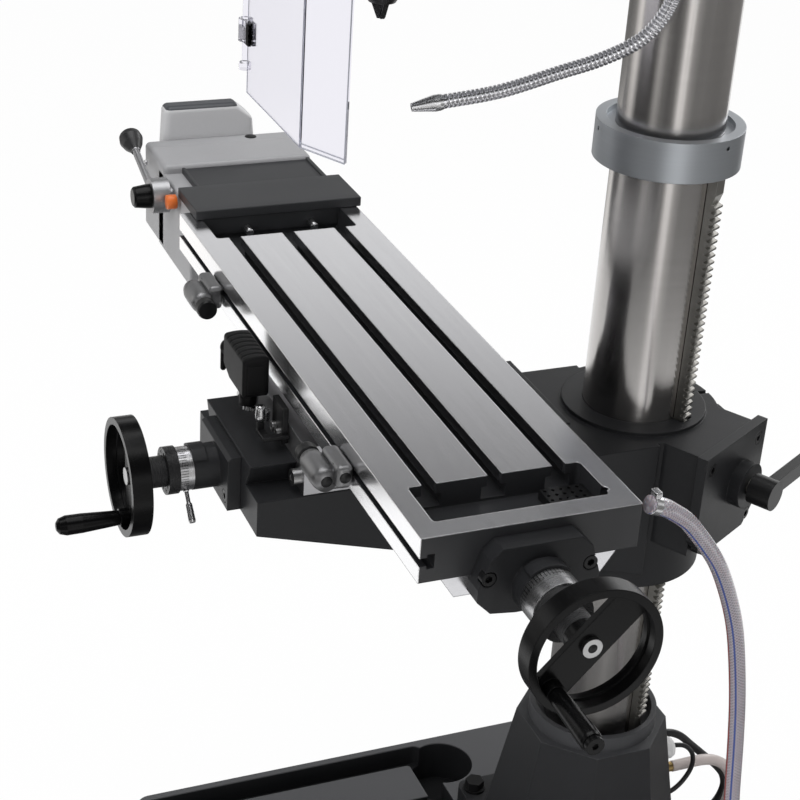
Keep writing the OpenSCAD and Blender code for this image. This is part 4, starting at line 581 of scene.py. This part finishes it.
# The front face gets a lighter metal tone than the top: a painted reflection of the bright floor.
metal_tone_lit_front = mixed(tree, front, lines.outputs["Colour"], (0.90, 0.90, 0.91))
surfaced(tree, table_shader, lines, 0.05, 0.0002, 0.0015)
wire(tree, table_shader, Base_Color=mixed(tree, bright, skin.outputs["Colour"], metal_tone_lit_front), Metallic=bright,
     Roughness=mixed(tree, bright, skin.outputs["Roughness"], lines.outputs["Roughness"]))
dress(table_mat, "table")
dress(machined("milled_saddle", (0.34, 0.34, 0.35), (0.56, 0.56, 0.58), (500, 60, 500), 0.3, 0.45), "saddle")


# Handwheels, knobs and handles: black enamel on cast iron, and moulded black grips. The crank, the arm's
# clamp lever, the small screws, the strainer, the chuck and the control box are satin black.
gloss_black = painted("gloss_black", (0.0014, 0.0014, 0.0016), (0.0026, 0.0026, 0.0028), 0.2, 0.34, 300.0,
                      0.06, 0.0012, 0.16)
dress(gloss_black, "y_handwheel", "x_handwheel", "y_handle", "x_handle", "lift_crank_handle", "fine_feed",
      "feed_knob", "gear_lever", "quill_lock")
satin_black = painted("satin_black", (0.004, 0.004, 0.0045), (0.008, 0.008, 0.0085), 0.3, 0.45, 500.0, 0.12,
                      0.0008, 0.3)
dress(satin_black, "lift_crank", "arm_clamp", "switch_bracket", "strainer", "pedestal_bolts", "arm_screws",
      "table_screws", "control_box", "chuck")


# Dials and flanges: turned sleeves, satin chromed, with engraved lines, each on a black flange with a
# diamond knurl. The lock screw, the limit switch's lever and the neck's ends have the same chrome.
satin_chrome = machined("satin_chrome", (0.50, 0.50, 0.51), (0.70, 0.70, 0.71), (700, 90, 700), 0.2, 0.34,
                        0.05, 0.0005)
dress(satin_chrome, "y_lock", "switch_lever", "neck_ends")
knurls, knurl_slope = 84, 900.0
screw_y, screw_z, cross_z = -0.3135, 0.815, 0.739


def dial_metal(name, along, centre, split_at, bright_above, lines, line_from, line_to):
    """A satin dial that ends in a knurled black flange. The turn about the axis times the number of
    lines, less its whole part, is near 0 or 1 on an engraved line; two such waves that lean both ways
    make the knurl."""
    mat, shader = finish_of(name, (0.6, 0.6, 0.61), 0.3, 1.0)
    tree = mat.node_tree
    shift = wired(tree, "ShaderNodeMapping", Vector=place_of(tree), Location=tuple(-c for c in centre))
    parts = wired(tree, "ShaderNodeSeparateXYZ", shift.outputs[0]).outputs
    axis = parts[along]
    a, b = [parts[k] for k in range(3) if k != along]
    turn = maths(tree, "ARCTAN2", b, a)
    near = maths(tree, "PINGPONG", maths(tree, "MULTIPLY_ADD", turn, lines / (2 * math.pi), 100.0), 0.5)
    flange = beyond(tree, axis, split_at, bright_above)
    engraved = joined(tree, "MULTIPLY", beyond(tree, near, 0.11, True), beyond(tree, axis, line_from),
                      beyond(tree, axis, line_to, True))
    scaled = maths(tree, "MULTIPLY_ADD", turn, knurls / (2 * math.pi), 400.0)
    leans = [maths(tree, "PINGPONG", maths(tree, "MULTIPLY_ADD", axis, sign * knurl_slope, scaled), 0.5)
             for sign in (1, -1)]
    skin = squeezed(tree, tuple(1500 if k == along else 40 for k in range(3)), Deep=(0.46, 0.46, 0.47),
                    Light=(0.66, 0.66, 0.67))
    colour = mixed(tree, engraved, skin.outputs["Colour"], (0.02, 0.02, 0.02))
    soft_edge = wired(tree, "ShaderNodeBevel", Radius=0.0006, samples=4)
    relief = wired(tree, "ShaderNodeBump", Strength=0.7, Distance=0.0012, Normal=soft_edge.outputs[0],
                   Height=joined(tree, "MULTIPLY", *leans, flange))
    wire(tree, shader, Base_Color=mixed(tree, flange, colour, (0.012, 0.012, 0.013)),
         Metallic=ramp(tree, flange, 0.0, 1.0, 1.0, 0.3), Roughness=skin.outputs["Roughness"],
         Normal=relief.outputs[0])
    return mat


dress(dial_metal("cross_dial", 1, (0, 0, cross_z), -0.5221, True, 50, -0.5215, -0.5135), "y_dial")
dress(dial_metal("long_dial", 0, (0, screw_y, screw_z), 0.4391, False, 50, 0.4155, 0.4235), "x_dial")


# Limit switch: moulded box in black thermoplastic. Its lid is crowned and has curved ribs across it, and
# it hangs on a bent steel plate that is screwed to the saddle.
def rounded(name, low, high, radius, cells=8, form=None):
    """A box with round edges: p = q + radius * (g - q) / |g - q|, where g runs over a grid on the box and
    q is the nearest point to g of the box shrunk by the radius. A form bends the points afterwards."""
    low, high = np.array(low, float), np.array(high, float)
    edge = radius * (1 - np.tan(np.radians(np.linspace(45, 0, 5))))
    verts, faces, count = [], [], 0
    for axis in range(3):
        a, b = [k for k in range(3) if k != axis]
        flats = [np.linspace(low[k] + radius, high[k] - radius, cells + 1)[1:-1] for k in (a, b)]
        ticks = [np.concatenate([low[k] + edge, flat, (high[k] - edge)[::-1]])
                 for k, flat in zip((a, b), flats)]
        for end in (0, 1):
            ga, gb = np.meshgrid(*ticks, indexing="ij")
            grid = np.empty(ga.shape + (3,))
            grid[..., a], grid[..., b], grid[..., axis] = ga, gb, (low, high)[end][axis]
            inner = np.clip(grid, low + radius, high - radius)
            away = grid - inner
            away = radius * away / np.linalg.norm(away, axis=-1, keepdims=True)
            verts.append((inner + away).reshape(-1, 3))
            m, n = ga.shape
            i, j = np.meshgrid(np.arange(m - 1), np.arange(n - 1), indexing="ij")
            quad = np.stack([i * n + j, (i + 1) * n + j, (i + 1) * n + j + 1, i * n + j + 1], -1)
            quad = quad.reshape(-1, 4)
            faces.append((quad[:, ::-1] if (end == 0) != (axis == 1) else quad) + count)
            count += m * n
    verts, faces = np.vstack(verts), np.vstack(faces)
    first, back = np.unique(np.round(verts, 7), axis=0, return_index=True, return_inverse=True)[1:]
    verts, faces = verts[first], back.reshape(-1)[faces]
    return piece(name, verts if form is None else form(verts), faces)


def bar(name, along, centre, start, stop, radius, sides=32):
    """A turned piece along an axis: profile radii at even steps, or one radius, with its edges broken."""
    r = np.atleast_1d(radius)
    if len(r) > 1:
        steps = np.linspace(start, stop, len(r))
    else:
        broken = 0.0005
        steps = np.array([start, start + broken, stop - broken, stop])
        r = np.array([r[0] - broken, r[0], r[0], r[0] - broken])
    line = np.zeros((len(steps), 3))
    a, b = [k for k in range(3) if k != along]
    line[:, along] = steps
    line[:, a], line[:, b] = centre
    return tube(name, line, r, sides, seed=(0, 0, 1) if along != 2 else (1, 0, 0))


ribs, rib_from, rib_pitch, rib_wide, rib_deep, rib_bow = 6, -0.052, 0.0094, 0.0011, 0.0010, 0.003
switch_mid, switch_half, lid_at, lid_thick, lid_crown = -0.440, 0.0145, 0.850, 0.005, 0.0022
shell_tall, rise_from, rise_long, rise_high = 0.038, -0.040, 0.022, 0.010


def switch_form(p):
    """Lid z = z + lid_crown * (1 - u^2) - rib_deep in each groove along x = rib_from + rib_pitch * k +
    rib_bow * u^2, with u = (y - switch_mid) / switch_half. Below the lid the far end rises by rise_high
    over rise_long."""
    q = p.copy()
    u = (p[:, 1] - switch_mid) / switch_half
    upper = np.clip((p[:, 2] - lid_at) / lid_thick, 0, 1)
    groove = np.zeros(len(p))
    for k in range(ribs):
        middle = rib_from + rib_pitch * k + rib_bow * u ** 2
        groove = np.maximum(groove, np.exp(-((p[:, 0] - middle) / rib_wide) ** 2))
    q[:, 2] += upper * (lid_crown * (1 - u ** 2) - rib_deep * groove)
    far = np.clip((rise_from - p[:, 0]) / rise_long, 0, 1)
    q[:, 2] += rise_high * (far * np.clip((lid_at - p[:, 2]) / shell_tall, 0, 1))
    return q


moulding = painted("switch_moulding", (0.0025, 0.0025, 0.0028), (0.005, 0.005, 0.0054), 0.42, 0.6, 1400.0,
                   0.25, 0.0008, 0.14)
for thing in (
        rounded("switch_box", (-0.0625, -0.4545, 0.812), (0.006, -0.4265, 0.8545), 0.0035, 80, switch_form),
        rounded("switch_end_panel", (0.004, -0.4505, 0.8165), (0.0072, -0.4305, 0.8475), 0.0012, 4),
        bar("switch_foot", 2, (-0.010, -0.4437), 0.7985, 0.813, 0.009),
        bar("switch_gland", 0, (-0.4437, 0.831), -0.0805, -0.062,
            [0.006, 0.0095, 0.0095, 0.006, 0.0075, 0.008]),
        rounded("switch_cable_0", (-0.0855, -0.4507, 0.801), (-0.0795, -0.4447, 0.830), 0.0028, 4),
        rounded("switch_cable_2", (-0.0855, -0.4423, 0.807), (-0.0795, -0.4363, 0.836), 0.0028, 4)):
    fixed(thing, moulding, "saddle_unit", "limit_switch")
plate_paint = painted("plate_black", (0.004, 0.004, 0.0045), (0.008, 0.008, 0.0085), 0.34, 0.48, 600.0, 0.12,
                      0.0006, 0.3)
for name, low, high in (("switch_plate", (0.016, -0.4262, 0.779), (0.048, -0.4198, 0.8185)),
                        ("switch_arm", (0.043, -0.4470, 0.7865), (0.053, -0.4200, 0.7905)),
                        ("switch_link", (0.026, -0.4470, 0.7860), (0.045, -0.4385, 0.7900)),
                        ("switch_post", (0.026, -0.4465, 0.7860), (0.032, -0.4395, 0.7990))):
    fixed(rounded(name, low, high, 0.0008, 3), plate_paint, "saddle_unit", "switch_bracket")
fixed(bar("switch_neck", 2, (0.0285, -0.4430), 0.798, 0.8145, [0.0045, 0.0052, 0.0052, 0.0045, 0.0045]),
      satin_chrome, "saddle_unit", "switch_bracket")


# Worm clamp: a band of bright steel round the end of the drain hose, with the housing of its screw. It
# presses the hose on its barb.
clamp_line = np.array([drain_start + step * drain_way for step in (3.0, 3.4, 10.6, 11.0)]) * mm
for thing in (tube("hose_clamp_band", clamp_line, hose_r + 0.7 * mm, 40),
              rounded("hose_clamp_screw", (0.3395, -0.1795, 0.8475), (0.3505, -0.1725, 0.8545), 0.0015, 4)):
    fixed(thing, satin_chrome, "table_unit", "hose_fitting")


# Table stops: zinc die castings, satin, each with a round boss for its rubber bumper, a clamp lobe on the
# table's groove, and two black socket screws in its end.
stop_metal = machined("stop_casting", (0.20, 0.20, 0.205), (0.30, 0.30, 0.305), (260, 260, 260), 0.36, 0.52,
                      0.2, 0.001)
boss_y, boss_z, boss_in, boss_out, boss_r = -0.44175, 0.8334, 0.0255, 0.019, 0.0124
lobe_in, lobe_out, web_half = 0.020, 0.026, 0.018
for label, centre, way_out in (("near", 0.198, 1), ("far", -0.200, -1)):
    boss = sorted((centre - boss_in * way_out, centre + boss_out * way_out))
    lobe = sorted((centre - lobe_in * way_out, centre + lobe_out * way_out))
    for thing in (
            bar("stop_boss_" + label, 0, (boss_y, boss_z), *boss,
                [0.0105, 0.0122, boss_r, boss_r, boss_r, 0.0122, 0.0105]),
            rounded("stop_lobe_" + label, (lobe[0], -0.4345, 0.8265), (lobe[1], -0.4182, 0.8500), 0.0055, 5),
            rounded("stop_web_" + label, (centre - web_half, -0.441, 0.8225),
                    (centre + web_half, -0.4185, 0.8430), 0.004, 5)):
        fixed(thing, stop_metal, "table_unit", "table_stops")
    for mark, at_y, at_z, end in (("a", boss_y, boss_z, 0.0192), ("b", -0.4265, 0.8390, 0.0262)):
        ends = sorted((centre + (end - 0.001) * way_out, centre + (end + 0.0006) * way_out))
        fixed(bar("stop_screw_%s_%s" % (label, mark), 0, (at_y, at_z), *ends, 0.0055), plate_paint,
              "table_unit", "table_stops")


# Power feed: die-cast body in light grey with a hump over its motor, whose flat top is dark, a small
# orange cap, and two dark cover plates over the table's end.
crease_x, crease_wide, crease_deep, body_top = -0.536, 0.004, 0.0008, 0.86
shoulder_y, shoulder_fall, hump_mid, draw_in = -0.284, 0.80, -0.3215, 0.05
hump_foot, hump_tall = 0.87, 0.05


def body_form(p):
    """Beyond the crease the top is lower by crease_deep, over a slope crease_wide wide."""
    q = p.copy()
    q[:, 2] -= np.clip((crease_x - p[:, 0]) / crease_wide, 0, 1) * crease_deep * (p[:, 2] > body_top)
    return q


def hump_form(p):
    """Past shoulder_y the top falls by shoulder_fall for each unit of y, and the sides draw in towards
    hump_mid by the share draw_in, both growing from nothing at hump_foot to full hump_tall above it."""
    q = p.copy()
    rise = np.clip((p[:, 2] - hump_foot) / hump_tall, 0, 1)
    q[:, 2] -= np.clip(p[:, 1] - shoulder_y, 0, 1) * shoulder_fall * rise
    q[:, 1] -= (p[:, 1] - hump_mid) * draw_in * rise
    return q


feed_paint = painted("feed_paint", (0.27, 0.27, 0.28), (0.33, 0.33, 0.34), 0.36, 0.5, 700.0, 0.15, 0.001)
hump_paint = painted("hump_paint", (0.49, 0.49, 0.50), (0.57, 0.57, 0.58), 0.36, 0.5, 700.0, 0.15, 0.001)
dark_from, dark_low, dark_blue = -0.376, 0.9155, (0.045, 0.048, 0.055)
patched(hump_paint, ((None, dark_from, dark_low), (None, shoulder_y, None), dark_blue))
cap_mat = painted("orange_cap", (0.55, 0.11, 0.015), (0.70, 0.16, 0.025), 0.3, 0.45, 900.0, 0.1, 0.0004)
for thing, mat, slot in (
        (rounded("feed_housing", (-0.566, -0.4045, 0.769), (-0.4720, -0.2170, 0.8795), 0.006, 40, body_form),
         feed_paint, "feed_grey"),
        (rounded("feed_base", (-0.500, -0.4045, 0.769), (-0.3575, -0.2300, 0.8690), 0.003, 8),
         feed_paint, "feed_grey"),
        (rounded("feed_hump", (-0.593, -0.3800, 0.780), (-0.5655, -0.2600, 0.9195), 0.008, 24, hump_form),
         hump_paint, "feed_grey"),
        (bar("feed_vent", 2, (-0.5540, -0.2700), 0.8762, 0.8792, 0.0075), plate_paint, "black_screws"),
        (bar("feed_cap", 1, (-0.404, 0.861), -0.4205, -0.409, 0.0085), cap_mat, "feed_grey"),
        (bar("feed_side_screw", 1, (-0.535, 0.862), -0.4125, -0.4095, 0.0035, 16),
         satin_chrome, "lever_satin")):
    fixed(thing, mat, "table_unit", "feed_body")
knob_to = -0.5243
lever_metal = machined("lever_metal", (0.34, 0.34, 0.35), (0.46, 0.46, 0.47), (700, 700, 700), 0.38, 0.5,
                       0.05, 0.0005)
dress(patched(lever_metal, ((None, None, None), (knob_to, None, None), (0.008, 0.008, 0.009))), "feed_lever")
cover_paint = painted("cover_paint", (0.020, 0.0205, 0.0225), (0.033, 0.034, 0.037), 0.42, 0.56, 900.0, 0.2,
                      0.0006, 0.4)
for name, low, high in (("cover_bar", (-0.4080, -0.4055, 0.8652), (-0.3305, -0.2040, 0.8768)),
                        ("cover_panel", (-0.4790, -0.3820, 0.8652), (-0.4060, -0.2200, 0.8742)),
                        ("cover_far_rim", (-0.4800, -0.3825, 0.8660), (-0.4750, -0.2195, 0.8765)),
                        ("cover_right_rim", (-0.4800, -0.2245, 0.8660), (-0.4060, -0.2195, 0.8765)),
                        ("cover_left_rim", (-0.4800, -0.3825, 0.8660), (-0.4060, -0.3785, 0.8758)),
                        ("cover_wall", (-0.3400, -0.3960, 0.8440), (-0.3330, -0.2310, 0.8660))):
    fixed(rounded(name, low, high, 0.0012, 6), cover_paint, "table_unit", "feed_cover")
for mark, at_y in (("a", -0.3450), ("b", -0.2660)):
    fixed(bar("cover_screw_" + mark, 0, (at_y, 0.8505), -0.3345, -0.3165, 0.0045, 24), satin_chrome,
          "table_unit", "feed_cover")


# Brass fittings: turned barbs and nuts on the table, the foot and the base. Of the three moulded cable
# glands one is white and two are black.
brass_deep, brass_light, fine_lines = (0.55, 0.36, 0.13), (0.78, 0.58, 0.28), (800, 800, 800)
white_gland = (0.003, None, 0.235), (0.04, None, 0.275), (0.74, 0.74, 0.74)
foot_gland = (-0.04, None, 0.22), (-0.004, None, 0.26), (0.012, 0.012, 0.013)
base_gland = (-0.04, None, 0.066), (-0.0055, None, 0.102), (0.012, 0.012, 0.013)
dress(machined("turned_brass", brass_deep, brass_light, fine_lines, 0.22, 0.38, 0.08, 0.0004), "hose_fitting")
dress(patched(machined("brass_and_glands", brass_deep, brass_light, fine_lines, 0.22, 0.38, 0.08, 0.0006),
              white_gland, foot_gland, base_gland), "base_fittings")


# Head and motor: grey iron in light grey paint, and the dark finned motor over it. The capstan is satin
# steel with a black ball on each of its three rods, the spindle is hardened and ground, and the two
# buttons are moulded.
dress(painted("head_paint", (0.42, 0.43, 0.44), (0.50, 0.51, 0.52), 0.34, 0.48, 620.0, 0.15, 0.002), "head")
hub_metal = machined("hub_metal", (0.5, 0.5, 0.51), (0.7, 0.7, 0.71), (700, 700, 700), 0.2, 0.34, 0.05,
                     0.0005)
hub_y, hub_z, rod_reach, ball_half = -0.276, 1.404, 0.18, 0.036
balls = []
for a in np.radians([0, 120, 240]):
    ball_y, ball_z = hub_y - math.sin(a) * rod_reach, hub_z + math.cos(a) * rod_reach
    balls.append(((0.14, ball_y - ball_half, ball_z - ball_half),
                  (0.17, ball_y + ball_half, ball_z + ball_half), (0.008, 0.008, 0.009)))
dress(patched(hub_metal, *balls), "feed_hub")
dress(painted("motor_paint", (0.03, 0.03, 0.033), (0.055, 0.055, 0.06), 0.36, 0.5), "motor")
dress(machined("hardened_spindle", (0.30, 0.30, 0.31), (0.46, 0.46, 0.47), (20, 20, 1500)), "spindle")
dress(painted("green_button", (0.01, 0.14, 0.04), (0.02, 0.20, 0.06), 0.25, 0.35, 900.0, 0.08, 0.0006),
      "start_button")
dress(painted("red_button", (0.30, 0.008, 0.008), (0.42, 0.014, 0.012), 0.25, 0.35, 900.0, 0.08, 0.0006),
      "stop_button")


# Wheel screw: a blackened socket screw in the end of the long screw's shaft, that holds the handwheel.
# It stands 0.6 mm out of the bright shaft.
long_shaft = solids["x_screw"]
long_end = max((long_shaft.matrix_world @ Vector(corner)).x for corner in long_shaft.bound_box)
fixed(bar("long_wheel_screw", 0, (screw_y, screw_z), long_end - 0.001, long_end + 0.0006, 0.0042, 24),
      plate_paint, "long_screw")


# Chip guard: one sheet of clear acrylic, bent along a fold and hinged on a rod. Its sawn edges, its
# fold and the lines by its hinge and along its wing are thin grey strips: painted highlights where they
# catch the light, over the sawn edges' own frost. A steel clip holds it on the rod.
guard_mat, guard_shader = finish_of("clear_acrylic", (0.77, 0.762, 0.815), 0.03, Transmission_Weight=1.0,
                                    IOR=1.14)
tree = guard_mat.node_tree
scuffs = noise(tree, place_of(tree), 40.0, 6.0)
wire(tree, guard_shader, Roughness=ramp(tree, scuffs, 0.45, 0.75, 0.02, 0.10))
dress(guard_mat, "guard", "guard_rod")
edge_highlight_mat = painted("sawn_acrylic_highlight", (0.30, 0.31, 0.36), (0.46, 0.47, 0.53), 0.3, 0.5, 500.0, 0.2, 0.0)
clip_mat = machined("spring_clip", (0.30, 0.30, 0.31), (0.46, 0.46, 0.47), (200, 200, 900), 0.2, 0.34, 0.05,
                    0.0004)


def strip(name, start, end, thick):
    """A square bar between two points: p = point +/- thick / 2 along two normals of the way between them."""
    start, end = Vector(start), Vector(end)
    way = (end - start).normalized()
    a = way.cross(Vector((0, 0, 1)) if abs(way.z) < 0.9 else Vector((0, 1, 0))).normalized() * thick / 2
    b = way.cross(a).normalized() * thick / 2
    corners = [point + sa * a + sb * b for point in (start, end)
               for sa, sb in ((-1, -1), (1, -1), (1, 1), (-1, 1))]
    sides = [(3, 2, 1, 0), (4, 5, 6, 7), (0, 1, 5, 4), (1, 2, 6, 5), (2, 3, 7, 6), (3, 0, 4, 7)]
    return piece(name, corners, sides, False)


sheet_low, sheet_high, left_x, fold_x, face_y = 1.067, 1.302, -0.1785, -0.0115, -0.3965
wing_y, wing_lean, wing_long = -0.3980, math.radians(26.6), 0.059
tip_x, tip_y = fold_x + math.cos(wing_lean) * wing_long, wing_y + math.sin(wing_lean) * wing_long
# Thin grey strips along the edges, the fold, the hinge and a line on the wing: painted highlights.
for name, start, end in (
        ("left", (left_x, face_y, sheet_low), (left_x, face_y, sheet_high)),
        ("bottom", (left_x, face_y, sheet_low), (fold_x, face_y, sheet_low)),
        ("fold", (fold_x, -0.3972, sheet_low), (fold_x, -0.3972, sheet_high)),
        ("wing_bottom", (fold_x, wing_y, sheet_low), (tip_x, tip_y, sheet_low)),
        ("wing_lower_line", (fold_x, wing_y, sheet_low + 0.0042), (tip_x, tip_y, sheet_low + 0.0042)),
        ("wing_side", (tip_x, tip_y, sheet_low), (tip_x, tip_y, sheet_high)),
        ("hinge_front", (-0.1955, face_y, 1.096), (-0.1955, face_y, sheet_high)),
        ("hinge_back", (-0.1895, -0.3925, 1.092), (-0.1895, -0.3925, sheet_high))):
    fixed(strip("guard_highlight_strip_" + name, start, end, 0.0011), edge_highlight_mat, "guard_unit")
fixed(rounded("guard_clip", (-0.1995, -0.4010, 1.1195), (-0.1850, -0.3920, 1.1330), 0.002, 4), clip_mat,
      "guard_unit")
